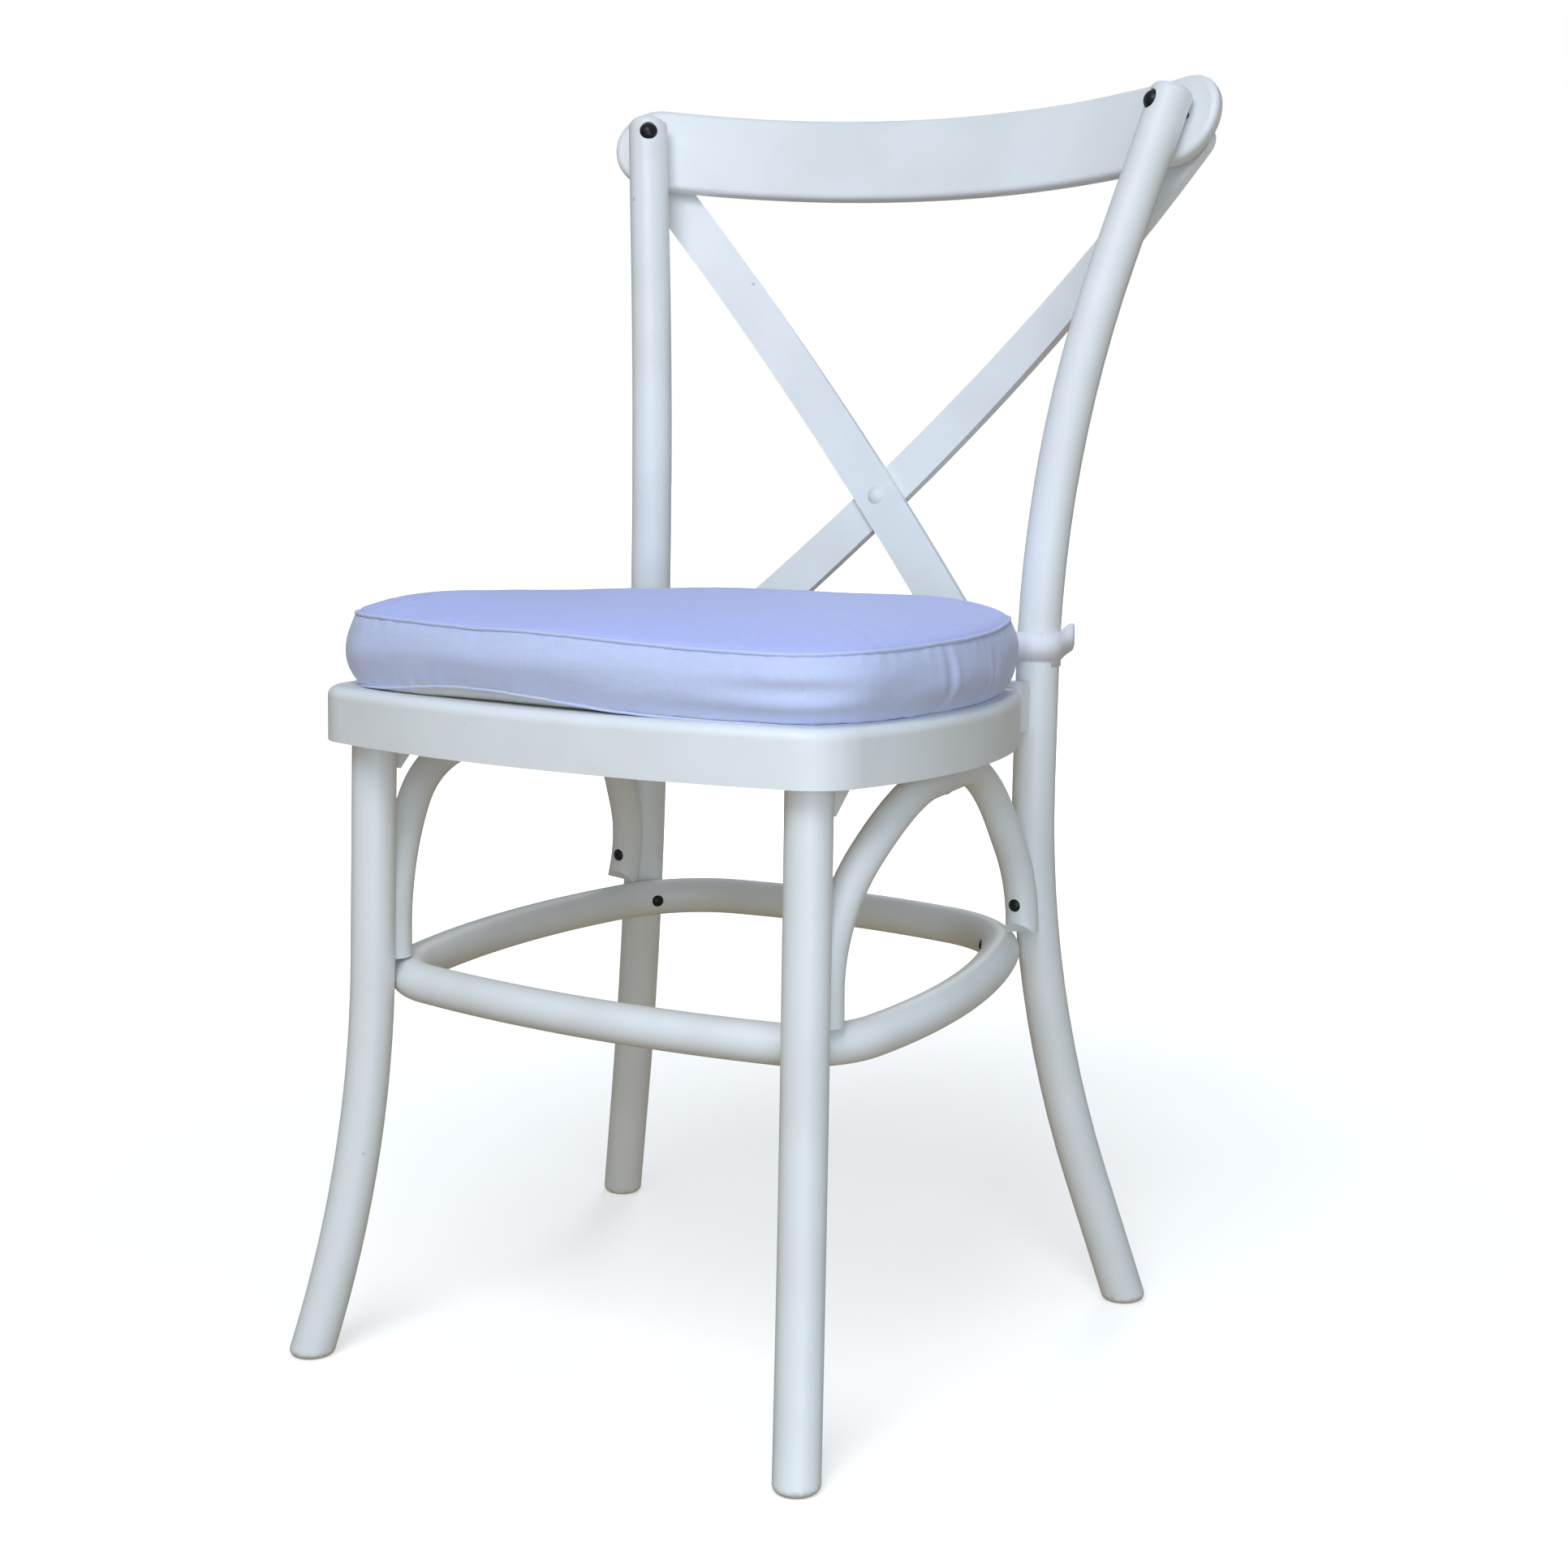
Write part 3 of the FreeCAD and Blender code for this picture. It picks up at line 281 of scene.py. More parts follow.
class ChairStage(bpy.types.PropertyGroup):
    camera_place: FloatVectorProperty(
        name="Camera", description="Where the camera stands",
        default=(0.9756, -1.4691, 0.6757), subtype="TRANSLATION",
    )
    camera_turn: angle("Camera turn", "Turn of the view to the left of straight ahead", 32.82)
    camera_dip: angle("Camera dip", "How far the view looks down", 9.33)
    lens: FloatProperty(
        name="Lens", description="Focal length for a 36 mm sensor", default=57.37, unit="CAMERA"
    )
    floor: colour("Floor", "Pale studio floor", "#FFFCF7")
    floor_dull: colour("Floor, dull", "Slow duller patches of the floor", "#FAF7F2")
    floor_near: length("Floor glow, near", "How far from the chair the lit floor starts to glow", 450.0)
    floor_far: length("Floor glow, far", "How far from the chair the floor is like the backdrop", 2200.0)
    backdrop: colour("Backdrop", "Plain ground behind the chair", "#FFFFFF")
    sky: colour("Upper light", "Cool soft light from above", "#DCE9F7")
    ground: colour("Lower light", "Warm light returned from below", "#D2BE94")
    sky_strength: strength("Upper light strength", "Light from above", 0.42)
    ground_strength: strength("Lower light strength", "Light from below", 0.36)
    key: colour("Main light", "Cool daylight from the upper front", "#EEF5FF")
    key_power: power("Main light power", "Power of the main light", 52.0)
    key_turn: angle("Main light turn", "Direction of the main light in plan", -75.0)
    key_climb: angle("Main light climb", "Height of the main light above level", 45.0)
    key_distance: length("Main light distance", "From the middle of the chair to the main light", 3200.0)
    key_size: length("Main light size", "Diameter of the main light", 2000.0)
    fill: colour("Fill light", "Low cool light beside the camera", "#D8EAFF")
    fill_power: power("Fill light power", "Power of the fill light", 15.0)
    fill_turn: angle("Fill light turn", "Direction of the fill light in plan", -48.0)
    fill_climb: angle("Fill light climb", "Height of the fill light above level", 1.0)
    fill_distance: length("Fill light distance", "From the middle of the chair to the fill light", 2000.0)
    fill_size: length("Fill light size", "Diameter of the fill light", 1300.0)
    back: colour("Back light", "Plain light that keeps the back of the chair readable", "#F4F6F8")
    back_power: power("Back light power", "Power of the back light", 15.0)
    back_turn: angle("Back light turn", "Direction of the back light in plan", 110.0)
    back_climb: angle("Back light climb", "Height of the back light above level", 30.0)
    back_distance: length("Back light distance", "From the middle of the chair to the back light", 3000.0)
    back_size: length("Back light size", "Diameter of the back light", 1200.0)


# Small helpers


def add_node(tree, kind, settings=None, inputs=None):
    """Add a node, set its own settings, and fill its inputs with values or other nodes' outputs."""
    node = tree.nodes.new(kind)
    for name, value in (settings or {}).items():
        setattr(node, name, value)
    for socket, value in (inputs or {}).items():
        if isinstance(value, bpy.types.NodeSocket):
            tree.links.new(value, node.inputs[socket])
        else:
            node.inputs[socket].default_value = value
    return node


def new_material(name):
    """A material with an empty tree, that tree, and the place of a point on the chair."""
    material = bpy.data.materials.new(name)
    material.use_nodes = True
    tree = material.node_tree
    tree.nodes.clear()
    return material, tree, add_node(tree, "ShaderNodeTexCoord").outputs["Object"]


def finish_material(tree, shader):
    add_node(tree, "ShaderNodeOutputMaterial", inputs={"Surface": shader.outputs[0]})


def link_object(name, data):
    """New object of the scene."""
    piece = bpy.data.objects.new(name, data)
    bpy.context.scene.collection.objects.link(piece)
    return piece


def mesh_object(name, bm):
    """Close a bmesh into a new object."""
    mesh = bpy.data.meshes.new(name)
    bm.to_mesh(mesh)
    bm.free()
    return link_object(name, mesh)


def finish_piece(piece, material, replaced=()):
    """Give a piece its finish, tie it to the chair, and hide the solids that it stands for."""
    piece.data.materials.clear()
    piece.data.materials.append(material)
    for polygon in piece.data.polygons:
        polygon.use_smooth = True
    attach(piece, BODY)
    if replaced:
        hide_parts(*replaced)
    return piece


def coat_nodes(names, material):
    """Finish for solids that stay as they are."""
    for name in names:
        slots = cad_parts[name].material_slots
        if not slots:
            raise RuntimeError(f"{name} has no material slot")
        for slot in slots:
            slot.material = material


# Materials


def satin_paint(name, finish):
    """Sprayed satin paint on bent beech: an even off-white coat with a fine ripple and a broad
    soft gloss, a few small rubbed marks, and feet that are rubbed grey where they meet the floor."""
    material, tree, place = new_material(name)
    coat = add_node(
        tree, "ShaderNodeTexNoise", inputs={"Vector": place, "Scale": 1 / PAINT_PATCH}
    ).outputs["Fac"]
    peel = add_node(
        tree, "ShaderNodeTexNoise", inputs={"Vector": place, "Scale": 1 / finish.peel}
    ).outputs["Fac"]
    grit = add_node(
        tree, "ShaderNodeTexNoise",
        inputs={"Vector": place, "Scale": 1 / SCUFF_GRIT, "Detail": 4.0},
    ).outputs["Fac"]
    cells = add_node(
        tree, "ShaderNodeTexVoronoi", inputs={"Vector": place, "Scale": 1 / finish.speck}
    )
    height = add_node(tree, "ShaderNodeSeparateXYZ", inputs={"Vector": place}).outputs["Z"]

    thick = add_node(
        tree, "ShaderNodeMapRange", inputs={"Value": coat, "From Min": 0.35, "From Max": 0.6}
    )
    tone = add_node(
        tree, "ShaderNodeMix", COLOURS,
        {SHARE: thick.outputs["Result"], FIRST: finish.paint_dull, SECOND: finish.paint},
    )
    ragged = add_node(
        tree, "ShaderNodeMath", {"operation": "MULTIPLY_ADD"},
        {0: grit, 1: 0.03, 2: cells.outputs["Distance"]},
    )
    mark = add_node(
        tree, "ShaderNodeMapRange",
        inputs={
            "Value": ragged.outputs[0], "From Min": 0.03, "From Max": 0.05,
            "To Min": 0.7, "To Max": 0.0,
        },
    )
    uneven = add_node(
        tree, "ShaderNodeMath", {"operation": "MULTIPLY_ADD"}, {0: grit, 1: RIM_UNEVEN, 2: height}
    )
    rim = add_node(
        tree, "ShaderNodeMapRange",
        inputs={
            "Value": uneven.outputs[0], "From Min": RUBBED_RIM[0], "From Max": RUBBED_RIM[1],
            "To Min": 0.7, "To Max": 0.0,
        },
    )
    worn = add_node(
        tree, "ShaderNodeMath", {"operation": "MAXIMUM"},
        {0: mark.outputs["Result"], 1: rim.outputs["Result"]},
    )
    painted = add_node(
        tree, "ShaderNodeMix", COLOURS,
        {SHARE: worn.outputs[0], FIRST: tone.outputs[MIXED], SECOND: finish.scuff},
    )
    gloss = add_node(
        tree, "ShaderNodeMapRange",
        inputs={"Value": coat, "From Min": 0.3, "From Max": 0.7, "To Min": 0.47, "To Max": 0.4},
    )
    bump = add_node(
        tree, "ShaderNodeBump", inputs={"Height": peel, "Strength": 0.2, "Distance": 0.06 * MM}
    )
    shader = add_node(
        tree, "ShaderNodeBsdfPrincipled",
        inputs={
            "Base Color": painted.outputs[MIXED], "Roughness": gloss.outputs["Result"],
            "Normal": bump.outputs["Normal"], "IOR": 1.5,
        },
    )
    finish_material(tree, shader)
    return material


def black_oxide(finish):
    """Black oxide on steel screws: nearly black, with faint handling marks and a dull gleam."""
    material, tree, place = new_material("black_oxide_steel")
    marks = add_node(
        tree, "ShaderNodeTexNoise",
        inputs={"Vector": place, "Scale": 1 / OXIDE_MARK, "Detail": 3.0},
    ).outputs["Fac"]
    rubbed = add_node(
        tree, "ShaderNodeMapRange", inputs={"Value": marks, "From Min": 0.4, "From Max": 0.8}
    )
    tone = add_node(
        tree, "ShaderNodeMix", COLOURS,
        {SHARE: rubbed.outputs["Result"], FIRST: finish.screw, SECOND: finish.screw_rubbed},
    )
    gloss = add_node(
        tree, "ShaderNodeMapRange", inputs={"Value": marks, "To Min": 0.3, "To Max": 0.5}
    )
    shader = add_node(
        tree, "ShaderNodeBsdfPrincipled",
        inputs={
            "Base Color": tone.outputs[MIXED], "Metallic": 0.35,
            "Roughness": gloss.outputs["Result"],
        },
    )
    finish_material(tree, shader)
    return material


def birch_plywood(finish):
    """Rotary-cut birch plywood: pale, with long soft grain along the panel and a dry surface."""
    material, tree, place = new_material("birch_plywood")
    along = add_node(
        tree, "ShaderNodeMapping",
        inputs={"Vector": place, "Scale": [1 / size for size in PLY_GRAIN]},
    )
    grain = add_node(
        tree, "ShaderNodeTexNoise",
        inputs={
            "Vector": along.outputs["Vector"], "Scale": 1.0,
            "Detail": 6.0, "Roughness": 0.6, "Distortion": 0.6,
        },
    ).outputs["Fac"]
    share = add_node(
        tree, "ShaderNodeMapRange", inputs={"Value": grain, "From Min": 0.38, "From Max": 0.62}
    )
    tone = add_node(
        tree, "ShaderNodeMix", COLOURS,
        {SHARE: share.outputs["Result"], FIRST: finish.panel_grain, SECOND: finish.panel},
    )
    bump = add_node(
        tree, "ShaderNodeBump", inputs={"Height": grain, "Strength": 0.3, "Distance": 0.15 * MM}
    )
    shader = add_node(
        tree, "ShaderNodeBsdfPrincipled",
        inputs={
            "Base Color": tone.outputs[MIXED], "Roughness": 0.65,
            "Normal": bump.outputs["Normal"], "IOR": 1.5,
        },
    )
    finish_material(tree, shader)
    return material


def thread_relief(tree, place, thread):
    """Crossing threads with slubs: one set of stretched grains along each axis, added up."""
    total = 0.0
    for axis in range(3):
        fine = [1 / thread] * 3
        fine[axis] /= SLUB
        stretched = add_node(tree, "ShaderNodeMapping", inputs={"Vector": place, "Scale": fine})
        grain = add_node(
            tree, "ShaderNodeTexNoise",
            inputs={"Vector": stretched.outputs["Vector"], "Scale": 1.0, "Detail": 1.0},
        )
        total = add_node(
            tree, "ShaderNodeMath", {"operation": "ADD"}, {0: grain.outputs["Fac"], 1: total}
        ).outputs[0]
    return total


def woven_cloth(name, tone, thread, sheen, panels=()):
    """Plain-woven cloth: crossing threads, a slow change of tone over the panel and a soft sheen.
    Panels of another tone follow the piece's own attributes. The threads are drawn coarser than
    the real half millimetre, so that they show."""
    material, tree, place = new_material(name)
    relief = thread_relief(tree, place, thread)
    slow = add_node(tree, "ShaderNodeTexNoise", inputs={"Vector": place, "Scale": 1 / CLOTH_PATCH})
    mixed = add_node(
        tree, "ShaderNodeMath", {"operation": "MULTIPLY_ADD"},
        {0: slow.outputs["Fac"], 1: 0.5, 2: relief},
    )
    shade = add_node(
        tree, "ShaderNodeMapRange",
        inputs={
            "Value": mixed.outputs[0], "From Min": 1.35, "From Max": 2.15,
            "To Min": 0.96, "To Max": 1.03,
        },
    )
    for attribute, other in panels:
        share = add_node(tree, "ShaderNodeAttribute", {"attribute_name": attribute})
        tone = add_node(
            tree, "ShaderNodeMix", COLOURS,
            {SHARE: share.outputs["Fac"], FIRST: tone, SECOND: other},
        ).outputs[MIXED]
    cloth = add_node(
        tree, "ShaderNodeMix", {**COLOURS, "blend_type": "MULTIPLY"},
        {SHARE: 1.0, FIRST: tone, SECOND: shade.outputs["Result"]},
    )
    bump = add_node(
        tree, "ShaderNodeBump", inputs={"Height": relief, "Strength": 0.16, "Distance": 0.12 * MM}
    )
    shader = add_node(
        tree, "ShaderNodeBsdfPrincipled",
        inputs={
            "Base Color": cloth.outputs[MIXED], "Roughness": 0.72, "Normal": bump.outputs["Normal"],
            "IOR": 1.45, "Sheen Weight": sheen, "Sheen Roughness": 0.4,
        },
    )
    finish_material(tree, shader)
    return material


# Cushion


def seat_matrix(cushion):
    """Place of the seat's own plane, which falls toward the back."""
    slope = Matrix.Rotation(-cushion.seat_slope, 4, "X")
    return Matrix.Translation((0, 0, cushion.seat_height)) @ slope


class CushionRoom:
    """The room that the cushion has on the seat: an outline at its lowest level, in the seat's plane."""

    def __init__(self, seat):
        self.bm = bmesh.new()
        self.bm.from_mesh(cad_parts["cushion"].data)
        bmesh.ops.remove_doubles(self.bm, verts=self.bm.verts, dist=MERGED)
        bmesh.ops.transform(self.bm, matrix=seat.inverted(), verts=self.bm.verts)
        levels = [vert.co.z for vert in self.bm.verts]
        self.low = min(levels)
        half_height = (max(levels) - self.low) / 2
        bmesh.ops.bisect_plane(
            self.bm, geom=self.bm.verts[:] + self.bm.edges[:] + self.bm.faces[:],
            plane_co=(0, 0, self.low + half_height), plane_no=(0, 0, 1),
            clear_inner=True, clear_outer=True,
        )
        bmesh.ops.remove_doubles(self.bm, verts=self.bm.verts, dist=OUTLINE_STEP)
        bmesh.ops.translate(self.bm, vec=(0, 0, -half_height), verts=self.bm.verts)
        corners = np.array([vert.co for vert in self.bm.verts])
        self.middle = Vector((corners.min(axis=0) + corners.max(axis=0)) / 2)
        self.half = (corners.max(axis=0) - corners.min(axis=0)) / 2

    def tucked(self, inset):
        """Matrix that draws the outline in by a distance."""
        shrink = Matrix.Diagonal((1 - inset / self.half[0], 1 - inset / self.half[1], 1, 1))
        return Matrix.Translation(self.middle) @ shrink @ Matrix.Translation(-self.middle)

    def seam(self, inset, rise, count=180):
        """The outline, drawn in and raised, at even steps along its length."""
        start = self.bm.verts[:][0]
        edge = start.link_edges[0]
        vert = edge.other_vert(start)
        points = [start.co.copy()]
        while vert is not start:
            points.append(vert.co.copy())
            edge = next(other for other in vert.link_edges if other is not edge)
            vert = edge.other_vert(vert)
        points = [self.tucked(inset) @ point + Vector((0, 0, rise)) for point in points + points[:1]]
        steps = [(after - before).length for before, after in zip(points, points[1:])]
        lengths = np.concatenate([[0.0], np.cumsum(steps)])
        wanted = np.linspace(0, lengths[-1], count, endpoint=False)
        columns = [
            np.interp(wanted, lengths, [point[axis] for point in points]) for axis in range(3)
        ]
        return [Vector(point) for point in zip(*columns)]


def hill(co, centre, reach):
    """Smooth hill of height 1 around a point, with its own reach along each axis."""
    away = (co - np.array(centre)) / np.array(reach)
    return np.exp(-(away ** 2).sum(axis=1))


def rolled(co, spread=1.0):
    """Share, from 0 to 1, in which the rolled edge of the border takes in each point."""
    return hill(np.array(co)[:, :2], ROLLED_PLACE, ROLLED_REACH * spread)


def border_inset(cushion, share):
    """How far the barrel of the border lies inside the room, at a share of its height."""
    tuck = cushion.bottom_tuck if share < 0.5 else cushion.top_tuck
    return cushion.side_clear + (tuck - cushion.side_clear) * (2 * share - 1) ** 2


def bottom_seam(cushion, room):
    """The seam under the border, which climbs the barrel where the border is rolled up."""
    flat = room.seam(cushion.bottom_tuck, 0)
    flatten = room.tucked(cushion.bottom_tuck).inverted()
    points = []
    for point, rise in zip(flat, cushion.rolled * rolled(flat)):
        drawn = room.tucked(border_inset(cushion, rise / cushion.border)) @ flatten @ point
        points.append(drawn + Vector((0, 0, rise)))
    return points


def cover_profile(cushion):
    """Inset and height of the cover from its bottom edge, over the border, to the crowned top."""
    profile = []
    for number in range(BORDER_STEPS + 1):
        share = number / BORDER_STEPS
        profile.append((border_inset(cushion, share), cushion.border * share))
    for step in CROWN_STEPS:
        rise = cushion.crown * (1 - math.exp(-step * MM / cushion.roll))
        profile.append((cushion.top_tuck + step * MM, cushion.border + rise))
    return profile


def cover_blank(cushion, room):
    """Empty cover: the room's outline, carried up along the cover's profile."""
    profile = cover_profile(cushion)
    bm = room.bm.copy()
    bmesh.ops.transform(bm, matrix=room.tucked(profile[0][0]), verts=bm.verts)
    face = bmesh.ops.contextual_create(bm, geom=bm.edges[:])["faces"][0]
    for (outer, low), (inner, high) in zip(profile, profile[1:]):
        grown = bmesh.ops.extrude_face_region(bm, geom=[face])["geom"]
        face = next(item for item in grown if isinstance(item, bmesh.types.BMFace))
        drawn = room.tucked(inner) @ room.tucked(outer).inverted()
        raised = Matrix.Translation((0, 0, high - low)) @ drawn
        bmesh.ops.transform(bm, matrix=raised, verts=face.verts[:])
    bmesh.ops.recalc_face_normals(bm, faces=bm.faces[:])
    return mesh_object("seat_cushion", bm)


def remeshed(piece, voxel):
    """Even mesh over the piece."""
    modifier = piece.modifiers.new("even_mesh", "REMESH")
    modifier.mode = "VOXEL"
    modifier.voxel_size = voxel
    graph = bpy.context.evaluated_depsgraph_get()
    mesh = bpy.data.meshes.new_from_object(piece.evaluated_get(graph))
    piece.modifiers.clear()
    old, piece.data = piece.data, mesh
    bpy.data.meshes.remove(old)
    piece.data.name = piece.name


def read_rows(items, name):
    """Three numbers of each of a mesh's items, as rows."""
    rows = np.zeros(len(items) * 3, np.float32)
    items.foreach_get(name, rows)
    return rows.reshape(-1, 3).astype(float)


def write_points(mesh, co):
    mesh.vertices.foreach_set("co", co.astype(np.float32).ravel())
    mesh.update()


def search_tree(points):
    """Tree that finds the nearest of the points."""
    tree = KDTree(len(points))
    for index, point in enumerate(points):
        tree.insert(point, index)
    tree.balance()
    return tree


def nearest_seam(co, seams):
    """For each point, its distance to the seams, and how far along a seam that is."""
    tree = search_tree([point for seam in seams for point in seam])
    found = [tree.find(point) for point in co]
    step = (seams[0][1] - seams[0][0]).length
    return np.array([item[2] for item in found]), np.array([item[1] for item in found]) * step


def fill_cover(piece, held, most):
    """Blow the cover up with a short cloth simulation, and keep each point within the most swell."""
    group = piece.vertex_groups.new(name="held")
    for index, weight in enumerate(held):
        if weight > HOLD_LEAST:
            group.add([index], float(weight), "REPLACE")
    before = read_rows(piece.data.vertices, "co")
    cloth = piece.modifiers.new("filling", "CLOTH")
    settings = cloth.settings
    settings.quality = 6
    settings.mass = 0.25
    settings.tension_stiffness = settings.compression_stiffness = 12
    settings.shear_stiffness = 6
    settings.bending_stiffness = 0.4
    settings.use_pressure = True
    settings.uniform_pressure_force = 4.0
    settings.vertex_group_mass = "held"
    settings.effector_weights.gravity = 0.0
    cloth.collision_settings.use_collision = False
    cloth.point_cache.frame_start = 1
    cloth.point_cache.frame_end = FILL_FRAMES
    scene = bpy.context.scene
    for number in range(1, FILL_FRAMES + 1):
        scene.frame_set(number)
    graph = bpy.context.evaluated_depsgraph_get()
    after = read_rows(piece.evaluated_get(graph).to_mesh().vertices, "co")
    piece.evaluated_get(graph).to_mesh_clear()
    piece.modifiers.clear()
    piece.vertex_groups.clear()
    scene.frame_set(1)
    move = after - before
    far = np.linalg.norm(move, axis=1, keepdims=True)
    return before + move * np.minimum(1.0, most / np.maximum(far, 1e-9))


def fold_cover(co, normals, cushion, room, away, along):
    """The filled cover with the slow waves of its cloth, the gathers beside its seams, and its folds."""
    base = np.array([0, 0, room.low])
    side = np.clip(1 - np.abs(normals[:, 2]), 0, 1)
    waves = np.array([
        smooth_noise.noise(Vector([number / size for number, size in zip(point, WAVE_SIZE)]))
        for point in co
    ])
    relief = waves * (WAVE_HEIGHT + BORDER_WAVE_HEIGHT * side)
    gathers = np.sin(2 * math.pi * along / cushion.pucker) * np.exp(-(away / GATHER_REACH) ** 2)
    relief += GATHER_HEIGHT * gathers
    for centre, reach, height in FOLDS:
        relief += height * MM * hill(co, np.array(centre) * MM + base, np.array(reach) * MM)
    relief[away < SEAM_FLAT] = 0.0
    return co + normals * relief[:, None]


def settle_cover(co, cushion, room):
    """The cover as it lies in use: a rolled edge, a top out of level, and the pull of the straps."""
    co = co.copy()
    plan = np.abs((co[:, :2] - np.array(room.middle)[:2]) / room.half[:2]).max(axis=1)
    rim = np.clip((plan - RIM_START) / (1 - RIM_START), 0, 1)
    low_down = np.exp(-((co[:, 2] - room.low) / CREVICE_REACH) ** 2)
    co[:, 2] += cushion.crevice * rim * low_down * rolled(co, CREVICE_SPREAD)
    height = np.clip((co[:, 2] - room.low) / cushion.border, 0, 1)
    for centre, reach, rise in SAGS:
        sag = hill(co[:, :2], np.array(centre) * MM, np.array(reach) * MM)
        co[:, 2] += rise * MM * height * sag
    for sign in (1, -1):
        from_side, from_back, up = PULL_PLACE
        corner = np.array((
            sign * (room.half[0] - from_side), room.middle.y + room.half[1] - from_back, room.low + up,
        ))
        pulled = cushion.waist * hill(co, corner, PULL_REACH)
        co[:, 0] -= sign * PULL_SHARE * pulled
        co[:, 1] -= PULL_SHARE * pulled
    co[:, 0] += cushion.aside
    return co


def mark_panels(mesh, co, cushion, room):
    """Attributes that say which points belong to the top panel, whose darker, bluer tone is painted
    shade, and which to the underside.
    """
    near = 1.0 * MM
    shares = {
        "top_panel": co[:, 2] > room.low + cushion.border - near,
        "underside": co[:, 2] < room.low + near + cushion.rolled * rolled(co),
    }
    for name, share in shares.items():
        attribute = mesh.attributes.new(name, "FLOAT", "POINT")
        attribute.data.foreach_set("value", share.astype(np.float32))


def seam_tube(name, points, radius):
    """Closed piping along a loop of points."""
    curve = bpy.data.curves.new(name, "CURVE")
    curve.dimensions = "3D"
    curve.bevel_depth = radius
    curve.bevel_resolution = 3
    spline = curve.splines.new("NURBS")
    spline.points.add(len(points) - 1)
    for knot, point in zip(spline.points, points):
        knot.co = (*point, 1)
    spline.use_cyclic_u = True
    spline.order_u = 4
    spline.resolution_u = 2
    line = link_object(name, curve)
    graph = bpy.context.evaluated_depsgraph_get()
    mesh = bpy.data.meshes.new_from_object(line.evaluated_get(graph))
    bpy.data.objects.remove(line)
    mesh.name = name
    return link_object(name, mesh)


class CHAIR_OT_cushion(bpy.types.Operator):
    """Fill the cushion's cover, and pipe its seams"""

    bl_idname = "chair.cushion"
    bl_label = "Cushion"

    def execute(self, context):
        scene = context.scene
        cushion, finish = scene.chair_cushion, scene.chair_finish
        seat = seat_matrix(cushion)
        room = CushionRoom(seat)
        seams = [bottom_seam(cushion, room), room.seam(cushion.top_tuck, cushion.border)]
        piece = cover_blank(cushion, room)
        remeshed(piece, cushion.voxel)
        before = read_rows(piece.data.vertices, "co")
        away, along = nearest_seam(before, seams)
        filled = before
        held = np.clip(HOLD_FULL - away / HOLD_REACH, 0, 1)
        held[before[:, 2] < room.low + HOLD_BASE] = 1.0
        filled = fill_cover(piece, held, cushion.swell)
        write_points(piece.data, filled)
        normals = read_rows(piece.data.vertex_normals, "vector")
        folded = fold_cover(filled, normals, cushion, room, away, along)
        after = settle_cover(folded, cushion, room)
        write_points(piece.data, after)
        mark_panels(piece.data, before, cushion, room)
        piece.data.transform(seat)
        piece.data.update()
        smoother = piece.modifiers.new("smooth_cover", "SUBSURF")
        smoother.levels = smoother.render_levels = 1
        # The top panel takes the darker, bluer tone: painted shade on the top of the cushion.
        panels = (("top_panel", finish.cloth_top_painted_shade), ("underside", finish.lining))
        cloth = woven_cloth(
            "polished_cotton", finish.cloth_side, finish.thread, COTTON_SHEEN, panels
        )
        finish_piece(piece, cloth, ["cushion"])

        tree = search_tree(before)
        cord = woven_cloth(
            "polished_cotton_piping", finish.cloth_side, finish.thread, COTTON_SHEEN
        )
        names = ("cushion_piping_bottom", "cushion_piping_top")
        thicknesses = (BOTTOM_PIPING * cushion.piping, cushion.piping)
        for name, seam, thickness in zip(names, seams, thicknesses):
            moved = []
            for point in seam:
                near = [index for _, index, _ in tree.find_n(point, NEAR_POINTS)]
                shift = sum((Vector(after[index] - before[index]) for index in near), Vector())
                moved.append(seat @ (point + shift / len(near)))
            finish_piece(seam_tube(name, moved, thickness / 2), cord)
        room.bm.free()
        return {"FINISHED"}


# Straps


def wound(bm, radius, low, high, start, sweep, steps):
    """Upright tape wound round the middle, with its first and its last edge."""
    ends = [
        bm.verts.new((radius * math.cos(start), radius * math.sin(start), level))
        for level in (low, high)
    ]
    edge = bm.edges.new(ends)
    spun = bmesh.ops.spin(
        bm, geom=[*ends, edge], cent=(0, 0, 0), axis=(0, 0, 1),
        angle=sweep, steps=steps, use_merge=False,
    )
    last = [item for item in spun["geom_last"] if isinstance(item, bmesh.types.BMEdge)]
    return edge, last[0]


def run_out(bm, edge, steps):
    """Carry the end of a tape on by steps, and return its new end."""
    for step in steps:
        grown = bmesh.ops.extrude_edge_only(bm, edges=[edge])["geom"]
        verts = [item for item in grown if isinstance(item, bmesh.types.BMVert)]
        bmesh.ops.translate(bm, vec=step, verts=verts)
        edges = [item for item in grown if isinstance(item, bmesh.types.BMEdge)]
        edge = next(item for item in edges if set(item.verts) == set(verts))
    return edge


